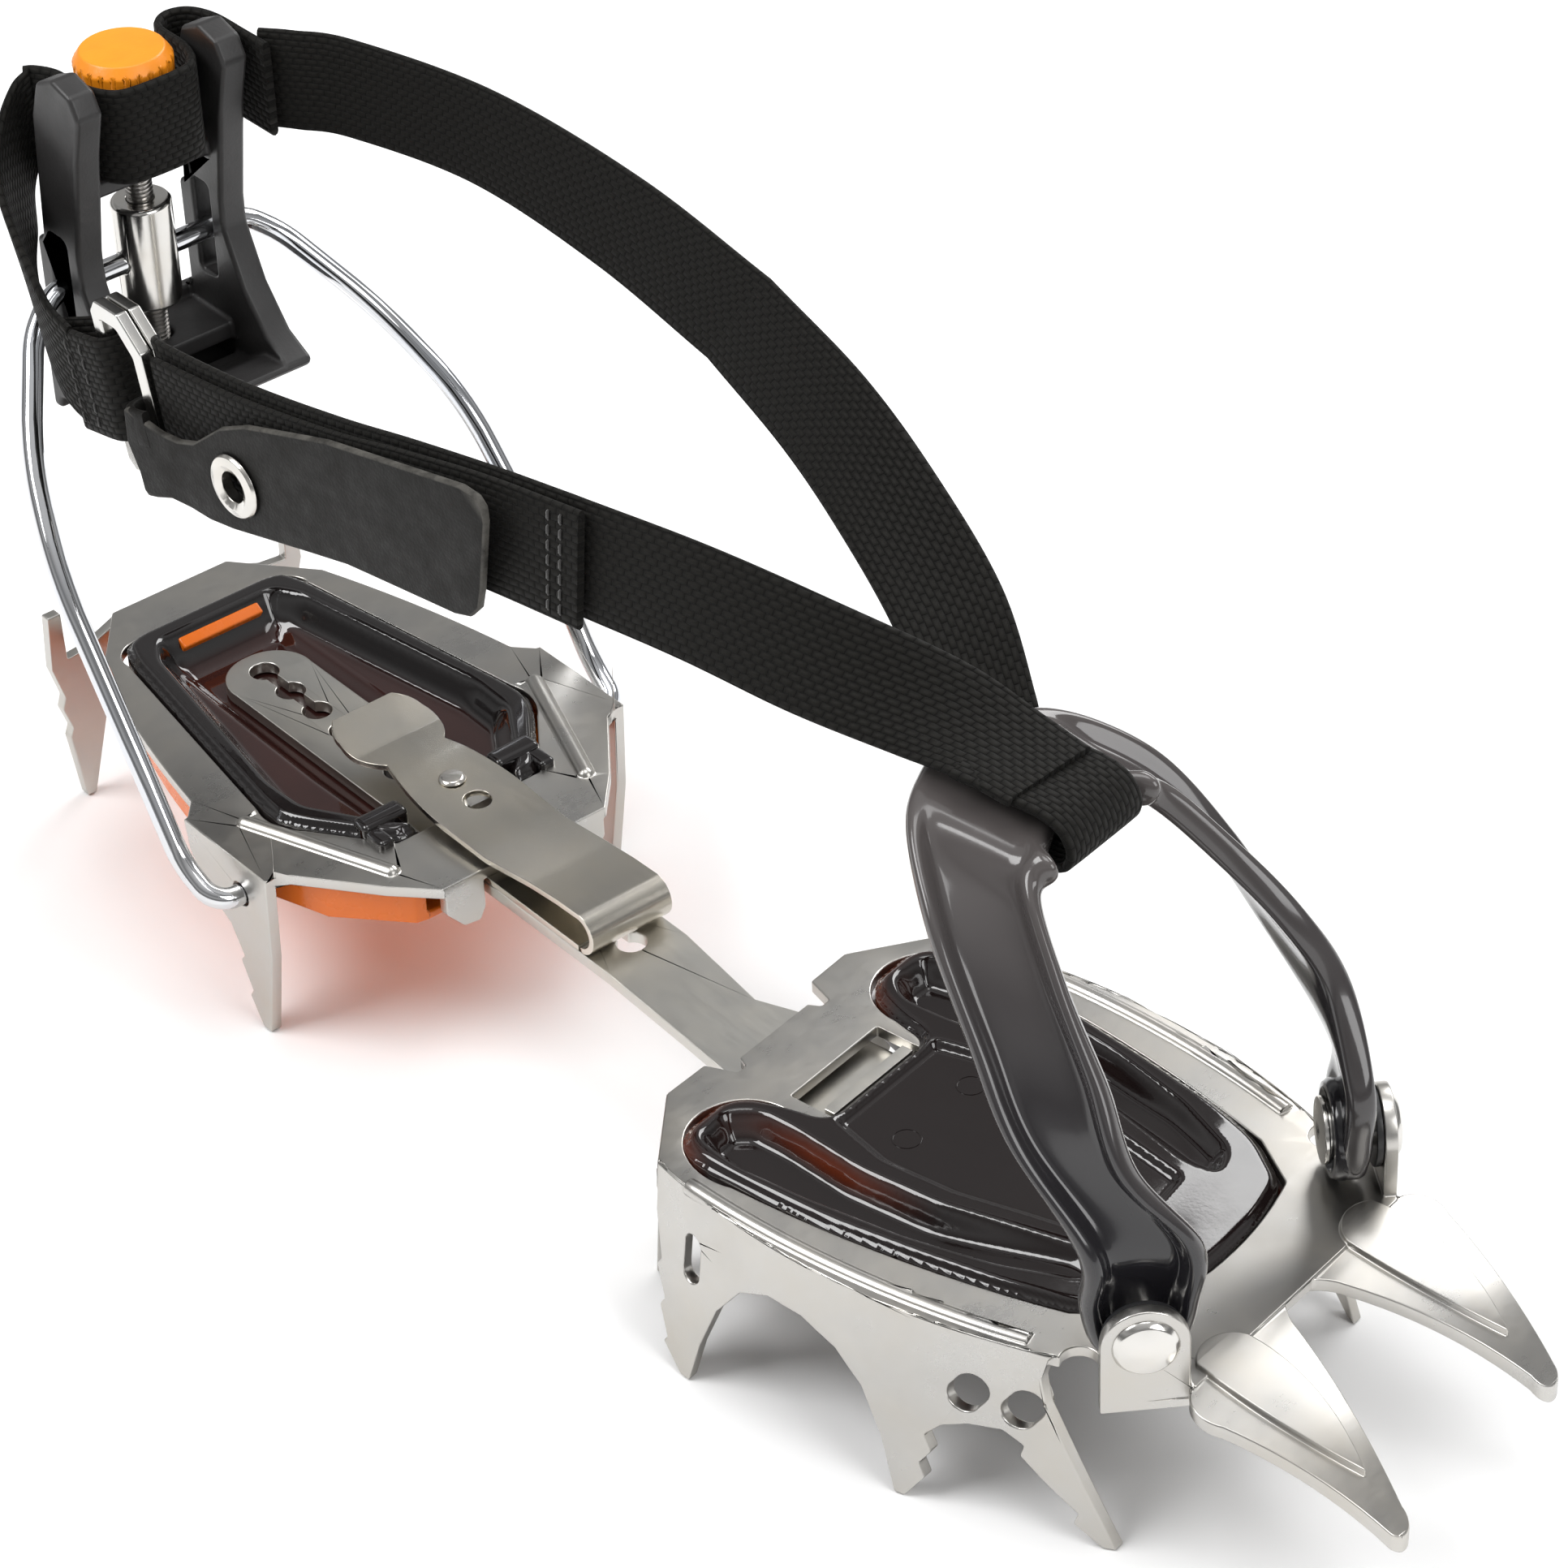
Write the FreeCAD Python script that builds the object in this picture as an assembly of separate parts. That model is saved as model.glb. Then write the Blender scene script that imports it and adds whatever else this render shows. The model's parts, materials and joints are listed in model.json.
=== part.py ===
"""Step-in crampon: toothed front and heel plates joined by a flat bar, toe bail, heel lever, ankle strap."""
import math
import os

import FreeCAD, Part

V = FreeCAD.Vector
UP = V(0, 0, 1)

# ---------------------------------------------------------------- driving sizes, millimetres
PLATE_TOP = 36.0            # top of both plates above the ground the points stand on
SHEET = 2.2                 # pressed steel sheet
TOE_OUT = 10.8              # degrees that the front section turns out from the heel section's line
FRONT_SHIFT = 2.7           # sideways step of the front section from the bar hook
ROW_X, ROW_Y = 34.7, -3.85  # from the bar hook to the centre of the whole part

FRONT_HALF = 42.5           # half width of the front section at its widest
WALL_LEAN = 4.0             # how far the side walls splay out between top and ground
EAR_X, EAR_Y, EAR_Z = 87.0, 33.0, 9.0
EAR_ANGLE = 45.0            # turn of each ear about the vertical
BAIL_SHEET = 4.2            # moulded toe bail wall
PIVOT_R = 3.0               # shank of the bail rivets
BAIL_GAP = 2.8              # between ear and bail, for the washer
EYE_CLEAR = 1.9             # room round the shank, because the two shanks are not in line

BAR_W, BAR_T, BAR_Z = 17.0, 2.4, -6.0
HOLE_R, HOLE_PITCH, HOLE_COUNT = 2.75, 8.5, 14
HOLE_FIRST = -163.1
NECK_W = 2.3
STUD_HOLE = 7               # the hole, from the rear, that the clip's stud sits in

GUARD_LOW = -7.6            # underside of the heel guard's dark upper layer
WIRE_R = 2.0
WIRE_PIN = V(-114.0, 0, -7.5)
CROSS_X, CROSS_Z = -187.0, 76.0
SEAT_Z = 96.5               # top of the lever's cross seat, which carries the knob's hub
SCREW_R, THREAD_CLEAR = 2.5, 0.05
SLEEVE_R = 5.6
WEB_T, WEB_W = 1.6, 20.0

RING_X, RING_W, RING_H = -154.5, 14.0, 32.0
RING_LOW, RING_T = 61.3, 2.4
RING_TILT = -14.0           # degrees that the rings lean back about a sideways axis
TAB_T = 1.6
TAB_SLANT = 4.0             # degrees that the pull tab lies out of the part's long direction

FRONT, REAR = "front", "rear"


# ---------------------------------------------------------------- helpers
def lift(z):
    """Height above the ground of a level given from the plates' top."""
    return PLATE_TOP + z


def face_xy(points, z=0.0):
    """Flat face from plan points; a point pair ('a', via, end) is an arc."""
    edges, last = [], V(points[0][0], points[0][1], z)
    for p in points[1:] + [points[0]]:
        if p[0] == "a":
            via, end = V(p[1][0], p[1][1], z), V(p[2][0], p[2][1], z)
            edges.append(Part.Arc(last, via, end).toShape())
        else:
            end = V(p[0], p[1], z)
            if end.distanceToPoint(last) < 1e-6:
                continue
            edges.append(Part.LineSegment(last, end).toShape())
        last = end
    return Part.Face(Part.Wire(edges))


def slab(points, low, high):
    """Plan outline raised from one level to another, both counted from the plates' top."""
    return face_xy(points, lift(low)).extrude(V(0, 0, high - low))


def mirror_y(points):
    """The other half of a plan outline, in walking order."""
    ends = [p if p[0] != "a" else p[2] for p in points]
    flipped = [(ends[-1][0], -ends[-1][1])]
    for i in range(len(points) - 1, 0, -1):
        end = (ends[i - 1][0], -ends[i - 1][1])
        if points[i][0] == "a":
            via = points[i][1]
            flipped.append(("a", (via[0], -via[1]), end))
        else:
            flipped.append(end)
    return flipped


def both(points):
    """Closed outline from the near half's points, mirrored about the middle."""
    return points + mirror_y(points)


def side_profile(points, y_from, y_to):
    """Outline in X and height, run across between two Y planes."""
    wire = Part.makePolygon([V(x, y_from, lift(z)) for x, z in points + points[:1]])
    return Part.Face(wire).extrude(V(0, y_to - y_from, 0))


def rear_profile(points, x_from, x_to):
    """Outline in Y and height, run along between two X planes."""
    wire = Part.makePolygon([V(x_from, y, lift(z)) for y, z in points + points[:1]])
    return Part.Face(wire).extrude(V(x_to - x_from, 0, 0))


def flip(shape):
    """The same shape on the far side."""
    return shape.mirror(V(0, 0, 0), V(0, 1, 0))


def pair(shape):
    return [shape, flip(shape)]


def cyl(radius, length, base, axis=UP):
    return Part.makeCylinder(radius, length, base, axis)


def lathe(profile, base, axis):
    """Turned piece from (radius, distance) points, along an axis."""
    wire = Part.makePolygon([V(r, 0, h) for r, h in profile + profile[:1]])
    solid = Part.Face(wire).revolve(V(0, 0, 0), UP, 360)
    solid.Placement = FreeCAD.Placement(base, FreeCAD.Rotation(UP, axis))
    return solid


def largest(shape):
    """The main solid, without the slivers a cut may leave."""
    return max(shape.Solids, key=lambda solid: solid.Volume)


def box(x0, x1, y0, y1, z0, z1):
    return Part.makeBox(x1 - x0, y1 - y0, z1 - z0, V(x0, y0, lift(z0)))


def run_round(points, radius):
    """Tube round a path of straight runs joined by tangent arcs."""
    edges, last = [], points[0]
    for i in range(1, len(points) - 1):
        a, b, c = points[i - 1], points[i], points[i + 1]
        into, out = (b - a).normalize(), (c - b).normalize()
        turn = into.getAngle(out)
        short = min((b - a).Length, (c - b).Length)
        cut = 0.42 * short
        arc_r = cut / math.tan(turn / 2)
        p, q = b - into * cut, b + out * cut
        middle = (out - into).normalize()
        via = b + middle * (arc_r / math.cos(turn / 2) - arc_r)
        edges.append(Part.LineSegment(last, p).toShape())
        edges.append(Part.Arc(p, via, q).toShape())
        last = q
    edges.append(Part.LineSegment(last, points[-1]).toShape())
    start = (points[1] - points[0]).normalize()
    ring = Part.Wire([Part.makeCircle(radius, points[0], start)])
    return Part.Wire(edges).makePipeShell([ring], True, True)


def ribbon(stations, thick):
    """Band through stations of (one edge, other edge); its thickness lies square to both."""
    count = len(stations)
    middles = [(a + b) * 0.5 for a, b in stations]
    loops = []
    for i, (a, b) in enumerate(stations):
        way = middles[min(i + 1, count - 1)] - middles[max(i - 1, 0)]
        out = (b - a).cross(way).normalize() * (thick / 2)
        loops.append([a - out, b - out, b + out, a + out])
    skin = []
    for near, far in zip(loops, loops[1:]):
        for k in range(4):
            a, b, c, d = near[k], near[(k + 1) % 4], far[(k + 1) % 4], far[k]
            skin += [(a, b, c), (a, c, d)]
    for a, b, c, d in (loops[0], loops[-1]):
        skin += [(a, b, c), (a, c, d)]
    faces = [Part.Face(Part.makePolygon([a, b, c, a])) for a, b, c in skin]
    solid = Part.makeSolid(Part.makeShell(faces))
    return solid.reversed() if solid.Volume < 0 else solid


def smooth(stations, count):
    """More stations, along smooth curves through both edges of the given ones."""
    curves = []
    for side in (0, 1):
        curve = Part.BSplineCurve()
        points = [ends[side] for ends in stations]
        curve.interpolate(Points=points, Parameters=list(range(len(points))))
        curves.append(curve)
    steps = [(len(stations) - 1) * i / (count - 1) for i in range(count)]
    return [(curves[0].value(t), curves[1].value(t)) for t in steps]


def band(path, drop, thick):
    """Webbing: path of middle points, each with its own width vector."""
    return ribbon(smooth([(p + w * 0.5, p - w * 0.5) for p, w in zip(path, drop)], 4 * len(path)), thick)


def place_front(shape):
    """Turn and step a front-section shape to its place on the bar's hook."""
    shape.rotate(V(0, 0, 0), UP, TOE_OUT)
    shape.translate(V(0, FRONT_SHIFT, 0))
    return shape


# ---------------------------------------------------------------- front section
def front_plan():
    """Near half of the front plate, from the middle of its rear edge to the crotch between its points."""
    return [(-14, -9.0), (-12.0, -10.0), (-12.0, -12.0), (-17.5, -14.0), (-17.7, -23.5), (-8.0, -37.0),
            ("a", (32.0, -FRONT_HALF), (72.0, -35.0)), ("a", (74.5, -30.5), (78.0, -33.0)),
            (82.5, -37.5), (92.5, -27.5)]


def front_plate():
    half = front_plan()
    tail = [(92.5, 27.5), (82.5, 37.5), (78.0, 33.0), ("a", (74.5, 30.5), (72.0, 35.0)),
            ("a", (32.0, FRONT_HALF), (-8.0, 37.0)), (-17.7, 23.5), (-17.5, 14.0), (-12.0, 12.0),
            (-12.0, 10.0), (-14, 9.0)]
    top = slab(half + [(92.5, 0)] + tail, -SHEET, 0)
    opening = front_opening(0.0)
    top = top.cut(slab(opening, -SHEET - 1, 1))
    slot = slab([(-1.0, -11.4), (9.0, -11.4), (9.0, 11.4), (-1.0, 11.4)], -SHEET - 1, 1)
    top = top.cut(slot)

    wall = side_wall()
    prong = corner_prong()
    ears = ear_blade()
    claw = front_claw()
    near = [wall, prong, ears, claw, side_rib(), claw_rib()]
    plate = top
    for piece in near:
        plate = plate.fuse(pair(piece))
    return plate.removeSplitter()


def front_opening(grow):
    """Opening that holds the snow guard: two rear lobes and a blunt front."""
    g = grow
    return [(8.0 - g, -13.0), (0.5 - g, -14.5), ("a", (-9.0 - g, -20.0), (-9.0 - g, -29.0 - g)),
            ("a", (-3.0, -34.5 - g), (6.0, -35.0 - g)), ("a", (40.0, -32.0 - g), (67.0, -26.0 - g)),
            (76.0 + g, -20.0), ("a", (79.0 + g, 0), (76.0 + g, 20.0)), (67.0, 26.0 + g),
            ("a", (40.0, 32.0 + g), (6.0, 35.0 + g)), ("a", (-3.0, 34.5 + g), (-9.0 - g, 29.0 + g)),
            ("a", (-9.0 - g, 20.0), (0.5 - g, 14.5)), (8.0 - g, 13.0)]


def strip(x0, y0, xm, ym, x1, y1, z):
    """Plan strip one sheet wide, following an arc, its outer side given."""
    s = SHEET
    outer = Part.Arc(V(x0, y0, z), V(xm, ym, z), V(x1, y1, z)).toShape()
    inner = Part.Arc(V(x1, y1 + s, z), V(xm, ym + s, z), V(x0, y0 + s, z)).toShape()
    return Part.Wire([outer, Part.LineSegment(V(x1, y1, z), V(x1, y1 + s, z)).toShape(), inner,
                      Part.LineSegment(V(x0, y0 + s, z), V(x0, y0, z)).toShape()])


def side_wall():
    """Splayed wall down the near side, cut to three points with saw-tooth edges."""
    top = strip(-8.0, -37.5, 32.0, -FRONT_HALF, 84.0, -30.5, lift(-0.01))
    low = strip(-8.0, -37.5 - WALL_LEAN * 1.4, 34.0, -FRONT_HALF - WALL_LEAN, 88.0, -31.5, lift(-PLATE_TOP))
    wall = Part.makeLoft([top, low], True, True)
    teeth = [(-7.5, 1), (-7.0, -9), (-5.0, -17), (-6.0, -18.5), (-3.5, -24), (-4.6, -25.5), (-2.2, -31),
             (-3.2, -32), (1.5, -36), (3.5, -36), (5.5, -28), (9.0, -19), (14.0, -12.5), (20.0, -9.8),
             (27.0, -10.0), (34.0, -12.8), (39.5, -18.0), (43.5, -26), (46.5, -36), (48.2, -36),
             (51.6, -31), (50.4, -28.6), (52.4, -25.5), (51.0, -22.6), (54.0, -19.5), (58.5, -17.6),
             (64.0, -16.8), (67.5, -18.8), (67.0, -21.0), (72.0, -26.0), (76.5, -30.0), (75.8, -32.0),
             (80.5, -36), (82.5, -36), (76.0, -22), (70.5, -10), (69.5, -5), (70.5, -1), (72.0, 1)]
    wall = wall.common(side_profile(teeth, -60, -20))
    holes = [oval(2.6, -12.5, 1.9, 4.6, 0), oval(58.0, -11.5, 2.9, 4.0, 35), oval(67.0, -11.8, 2.9, 4.0, 35)]
    for hole in holes:
        wall = wall.cut(hole)
    return wall


def oval(x, z, half_w, half_h, tilt):
    """Cutter across the near wall: a slot with round ends, tilted in the side view."""
    straight = half_h - half_w
    turn = math.radians(tilt)
    dx, dz = math.sin(turn) * straight, math.cos(turn) * straight
    a, b = V(x + dx, -60, lift(z + dz)), V(x - dx, -60, lift(z - dz))
    side = V(math.cos(turn), 0, -math.sin(turn)) * half_w
    rim = Part.makePolygon([a + side, b + side, b - side, a - side, a + side])
    cutter = Part.Face(rim).extrude(V(0, 40, 0))
    return cutter.fuse([cyl(half_w, 40, a, V(0, 1, 0)), cyl(half_w, 40, b, V(0, 1, 0))])


def corner_prong():
    """Point bent down from the rear corner, square to the corner's edge."""
    a, b = V(-17.7, -23.5, 0), V(-8.0, -37.0, 0)
    along = (b - a).normalize()
    inward = V(-along.y, along.x, 0)
    shape = [(0, 0.0), (16.6, 0.0), (16.6, -6.0), (12.5, -9.0), (8.0, -20.0), (3.6, -36), (2.0, -36),
             (0.8, -24), (0.2, -10)]
    lean = 3.0 / PLATE_TOP
    pts = [a + along * s - inward * (-z * lean) + UP * lift(z) for s, z in shape]
    face = Part.Face(Part.makePolygon(pts + pts[:1]))
    return face.extrude(inward * SHEET)


def ear_frame():
    """Middle of the near ear's outer face, its outward normal and its sideways direction."""
    turn = math.radians(EAR_ANGLE)
    out = V(math.sin(turn), -math.cos(turn), 0)
    side = V(math.cos(turn), math.sin(turn), 0)
    return V(EAR_X, -EAR_Y, lift(EAR_Z)), out, side


def ear_blade():
    """Upright ear that carries the bail's rivet."""
    mid, out, side = ear_frame()
    half, low = 7.0, -13.0
    a, b = mid - side * half, mid + side * half
    rim = [Part.LineSegment(a + UP * low, b + UP * low).toShape(),
           Part.LineSegment(b + UP * low, b).toShape(), Part.Arc(b, mid + UP * half, a).toShape(),
           Part.LineSegment(a, a + UP * low).toShape()]
    blade = Part.Face(Part.Wire(rim)).extrude(out * -SHEET)
    hole = cyl(PIVOT_R, 30, mid + out * 10, out * -1)
    return blade.cut(hole)


def claw_sheet():
    """Sheet that curves down ahead of the plate, across the whole width."""
    x0, radius = 86.0, 62.0
    outer = Part.makeCylinder(radius, 120, V(x0, -60, lift(0) - radius), V(0, 1, 0))
    inner = Part.makeCylinder(radius - SHEET - 0.3, 120, V(x0, -60, lift(0) - radius), V(0, 1, 0))
    return outer.cut(inner).common(box(x0, 140, -60, 60, -40, 1))


def front_claw():
    """One horizontal point: a broad blade that narrows and droops."""
    plan = [(86.0, 0.0), (90.5, 0.0), ("a", (92.2, -3.2), (97.0, -6.5)), (124.5, -18.0),
            ("a", (127.3, -20.5), (126.0, -23.3)), (100.0, -31.0), ("a", (94.5, -31.2), (92.0, -28.0)),
            (86.0, -33.5)]
    return claw_sheet().common(slab(plan, -45, 2))


def claw_rib():
    """Pressed teardrop rib along the horizontal point."""
    plan = [(90.0, -24.0), ("a", (88.5, -17.5), (92.5, -13.5)), ("a", (98.0, -13.5), (119.0, -19.8)),
            ("a", (104.0, -24.5), (90.0, -24.0))]
    x0, radius = 86.0, 63.1
    crown = Part.makeCylinder(radius, 120, V(x0, -60, lift(1.1) - radius), V(0, 1, 0))
    rib = slab(plan, -45, 4).common(crown).cut(
        Part.makeCylinder(60.5, 120, V(x0, -60, lift(0) - 62.0), V(0, 1, 0)))
    return rib


def side_rib():
    """Rolled ridge where the side wall meets the plate."""
    level_z = lift(-0.4)
    spine = Part.Arc(V(0, -38.6, level_z), V(32.0, -39.6, level_z), V(66.0, -34.6, level_z)).toShape()
    ring = Part.Wire([Part.makeCircle(1.5, V(0, -38.6, lift(-0.4)), spine.tangentAt(spine.FirstParameter))])
    return Part.Wire([spine]).makePipeShell([ring], True, True)


def front_guard():
    """Snow guard: a dished moulding clipped into the front opening."""
    rim = slab(front_opening(-0.5), -7.0, 1.2)
    rim = rim.cut(slab([(-2.0, -12.6), (7.8, -12.6), (7.8, 12.6), (-2.0, 12.6)], -20, 20))
    skirt = slab(front_opening(3.0), -5.0, -SHEET - 0.1)
    skirt = skirt.cut(slab([(-30.0, -13.5), (8.3, -13.5), (8.3, 13.5), (-30.0, 13.5)], -20, 20))
    body = rim.fuse(skirt)
    trough = [(-4.5, -30.0), ("a", (-6.0, -20.5), (4.0, -19.5)), ("a", (30.0, -20.5), (56.0, -15.5)),
              (60.5, -22.5), ("a", (34.0, -30.2), (6.0, -31.8)), ("a", (-1.5, -32.0), (-4.5, -30.0))]
    cut = slab(trough, -5.0, 5)
    body = body.cut(pair(cut))
    nose = slab([(64.0, -15.5), (71.5, -15.5), (71.5, 15.5), (64.0, 15.5)], -4.0, 5)
    body = body.cut(nose)
    panel = slab([(9.5, -15.5), (32.0, -17.0), (60.0, -11.5), (60.0, 11.5), (32.0, 17.0), (9.5, 15.5)],
                 0.2, 5)
    return largest(body.cut([panel, front_plate()]).removeSplitter())


# ---------------------------------------------------------------- toe bail
def bail_half():
    """Near half of the toe bail: (rear edge, front edge) at each station from the middle out."""
    mid, out, side = ear_frame()
    eye = mid - out * (SHEET + BAIL_GAP + BAIL_SHEET / 2)
    raw = [((24, 0, 76), (48, 0, 73)), ((25.5, -9, 75.5), (50.5, -9, 72.5)), ((30, -18, 73), (54, -15.5, 69)),
           ((41, -27.5, 65), (63, -20.5, 59)), ((52, -32, 52), (73.5, -24.5, 48)),
           ((61, -34.3, 39), (81, -27.0, 36))]
    stations = [(V(a[0], a[1], lift(a[2])), V(b[0], b[1], lift(b[2]))) for a, b in raw]
    for half, rise in ((9.8, 14.0), (9.5, 3.5), (7.4, -4.5), (3.4, -7.0)):
        stations.append((eye - side * half + UP * rise, eye + side * half + UP * rise))
    return stations


def toe_bail():
    """Moulded bail over the toe, with an eye at each end."""
    near = bail_half()
    far = [(V(a.x, -a.y, a.z), V(b.x, -b.y, b.z)) for a, b in near[1:]]
    edges = [(b, a) for a, b in reversed(far)] + [(b, a) for a, b in near]
    body = ribbon(smooth(edges, 73), BAIL_SHEET)
    mid, out, side = ear_frame()
    hole = cyl(PIVOT_R + EYE_CLEAR, 30, mid + out * 2, out * -1)
    return body.cut(pair(hole))


def bail_rivet():
    """Rivet through the ear: domed outer head, shank, flared inner end."""
    mid, out, side = ear_frame()
    inner = SHEET + BAIL_GAP + BAIL_SHEET + 1.4
    profile = [(0, 2.0), (2.6, 1.6), (4.6, 1.0), (5.4, 0.0), (PIVOT_R, 0.0), (PIVOT_R, -inner),
               (5.6, -inner), (5.6, -inner - 0.9), (1.6, -inner - 1.2), (0, -inner - 0.6)]
    return lathe(profile, mid, out)


def bail_washer():
    """Dark spacer between the ear and the bail."""
    mid, out, side = ear_frame()
    ring = cyl(6.6, 1.2, mid - out * (SHEET + 1.2), out)
    return ring.cut(cyl(PIVOT_R, 30, mid + out * 2, out * -1))


# ---------------------------------------------------------------- centre bar
def bar_plan():
    """Plan of the bar: straight at the heel, easing round to the front section's line."""
    half = BAR_W / 2
    turn = math.radians(TOE_OUT)
    rear = [(-160.0, half), ("a", (-166.8, 6.2), (-169.2, 0)), ("a", (-166.8, -6.2), (-160.0, -half))]
    front = [(-6.0, -11.0), (3.0, -11.0), (3.0, 11.0), (-6.0, 11.0), (-14.0, 10.6)]
    placed = [(x * math.cos(turn) - y * math.sin(turn), x * math.sin(turn) + y * math.cos(turn) + FRONT_SHIFT)
              for x, y in [(-14.0, -10.6)] + front]
    return rear + [(-48.0, -half), (-26.0, -half - 1.0)] + placed + [(-26.0, half - 2.6), (-48.0, half)]


def center_bar():
    """Flat spring-steel bar, with a chain of holes and a hook at the front slot."""
    bar = slab(bar_plan(), BAR_Z, BAR_Z + BAR_T)
    lip = slab([(5.2, -10.4), (7.4, -10.4), (7.4, 10.4), (5.2, 10.4)], BAR_Z, -0.3)
    foot = slab([(0.0, -10.4), (7.4, -10.4), (7.4, 10.4), (0.0, 10.4)], BAR_Z, BAR_Z + BAR_T)
    hook = lip.fuse(foot)
    bar = bar.fuse(place_front(hook))
    cutters = []
    for i in range(HOLE_COUNT):
        x = HOLE_FIRST + i * HOLE_PITCH
        cutters.append(cyl(HOLE_R, 10, V(x, 0, lift(BAR_Z - 3))))
        if i not in (2, HOLE_COUNT - 1):
            cutters.append(box(x, x + HOLE_PITCH, -NECK_W / 2, NECK_W / 2, BAR_Z - 3, BAR_Z + 6))
    return bar.cut(cutters).removeSplitter()


# ---------------------------------------------------------------- heel section
def heel_plan():
    return [(-194.0, -13.0), (-179.0, -25.0), ("a", (-160.0, -30.6), (-134.0, -36.0)), (-129.5, -40.0),
            (-106.5, -40.0), (-104.0, -35.5), (-90.0, -25.0), (-82.5, -18.0)]


def heel_opening(grow):
    g = grow
    return both([(-183.0 - g, -14.5), ("a", (-182.0 - g, -18.5 - g * 0.7), (-177.0, -20.5 - g)),
                 (-124.0, -28.5 - g), ("a", (-118.0, -28.8 - g), (-113.0, -26.0 - g)), (-99.0 + g, -16.0 - g)])


def heel_plate():
    plate = slab(both(heel_plan()), -SHEET, 0).cut(slab(heel_opening(0.0), -9, 9))
    teeth = [(-130.5, 0), (-129.5, -6), (-125.5, -12.5), (-118.5, -16.5), (-115.2, -22), (-116.4, -23.5),
             (-113.6, -29), (-114.6, -30.5), (-111.2, -36), (-109.0, -36), (-106.0, -18), (-105.2, 0)]
    side = side_profile(teeth, -40.0, -40.0 + SHEET)
    side = side.cut(cyl(WIRE_R + 0.4, 20, V(WIRE_PIN.x, -50, lift(WIRE_PIN.z)), V(0, 1, 0)))
    rear = [(-11.5, 0), (-20.0, -3.5), (-25.0, -4.0), (-25.2, 6.5), (-28.0, 6.5), (-28.6, -5.0), (-26.6, -12.0),
            (-27.4, -14.5), (-25.8, -19.5), (-26.6, -21.5), (-24.6, -36), (-22.8, -36), (-18.0, -19.0),
            (-14.5, -9.0), (-9.5, -2.2)]
    back = rear_profile(rear, -194.0, -194.0 + SHEET)
    rib = rib_bar((-122.0, -32.4), (-93.0, -21.6), 1.7)
    for piece in (side, back, rib, front_tab()):
        plate = plate.fuse(pair(piece))
    return plate.removeSplitter()


def rib_bar(a, b, radius):
    """Pressed rib on top of a plate: a low half-round ridge with round ends."""
    start, end = V(a[0], a[1], lift(-0.5)), V(b[0], b[1], lift(-0.5))
    way = end - start
    rib = cyl(radius, way.Length, start, way)
    return rib.fuse([Part.makeSphere(radius, start), Part.makeSphere(radius, end)])


def front_tab():
    """Folded tab beside the bar, its lower end round."""
    drop = rear_profile([(-17.5, 0), (-17.5, -6.0), (-14.0, -10.0), (-10.5, -10.4), (-9.2, -8.0), (-9.2, 0)],
                        -82.5 - SHEET, -82.5)
    return drop.fuse(box(-92.0, -82.5, -17.5, 0.0, -SHEET, 0))


def guard_bridge():
    """Raised bridge at the front of the heel guard, beside the clip."""
    return slab([(-107.0, -19.0), (-102.5, -19.0), (-102.5, -9.8), (-107.0, -9.8)], -2.0, 2.2)


def heel_guard():
    """Heel snow guard, dark upper: sloped rim round a sunk floor for the bar."""
    rim = slab(heel_opening(-0.5), GUARD_LOW, 1.4)
    well = both([(-177.0, -13.5), ("a", (-174.0, -14.6), (-169.0, -15.0)), (-126.0, -22.0), (-112.0, -19.5),
                 (-101.0, -12.0)])
    rim = rim.cut(slab(well, BAR_Z - 0.3, 9))
    gate = box(-120, -80, -9.0, 9.0, BAR_Z - 0.3, 9)
    body = rim.cut(gate).fuse(pair(guard_bridge()))
    window = slab([(-180.0, -10.0), (-177.5, -10.0), (-177.5, 10.0), (-180.0, 10.0)], -20, 20)
    return body.cut([window, heel_plate()]).removeSplitter()


def heel_guard_base():
    """Bright lower layer of the heel guard; its edge shows under the plate."""
    outer = both([(-188.0, -12.0), (-176.0, -22.5), ("a", (-158.0, -29.0), (-132.0, -34.5)),
                  (-114.0, -35.5), (-100.0, -31.0), (-88.0, -20.5), (-87.5, -18.0)])
    hollow = both([(-185.0, -12.5), (-175.0, -21.6), ("a", (-158.0, -27.6), (-131.0, -32.2)),
                   (-114.0, -33.0), (-102.0, -29.0), (-91.0, -20.0), (-91.0, -17.5)])
    floor = GUARD_LOW - 0.1
    base = slab(outer, floor - 1.7, floor)
    lip = slab(outer, floor, -SHEET - 0.1).cut(slab(hollow, floor, 0))
    lip = lip.cut(box(-100, -80, -18.2, 18.2, floor, 0))
    room = cyl(WIRE_R + 0.6, 30, V(WIRE_PIN.x, -60, lift(WIRE_PIN.z)), V(0, 1, 0))
    return base.fuse(lip).cut(pair(room) + [heel_guard()]).removeSplitter()


# ---------------------------------------------------------------- bar clip
FOLD_X, FOLD_Z, FOLD_R = -56.0, 0.9, 3.6
CLIP_T = 1.2


def clip_strip(points, width):
    """Bent strip in side view, given as its middle line, with a constant width."""
    outline, back = [], []
    for i, (x, z) in enumerate(points):
        ax, az = points[max(i - 1, 0)]
        bx, bz = points[min(i + 1, len(points) - 1)]
        way = math.hypot(bx - ax, bz - az)
        nx, nz = -(bz - az) / way * CLIP_T / 2, (bx - ax) / way * CLIP_T / 2
        outline.append((x + nx, z + nz))
        back.append((x - nx, z - nz))
    return side_profile(outline + back[::-1], -width / 2, width / 2)


def clip_leaf():
    """Fixed lower leaf of the clip, lying over the bar and spot-welded under the heel plate."""
    return clip_strip([(-98.0, -2.8), (-75.0, -2.8), (FOLD_X - 0.6, -2.8)], BAR_W)


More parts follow.
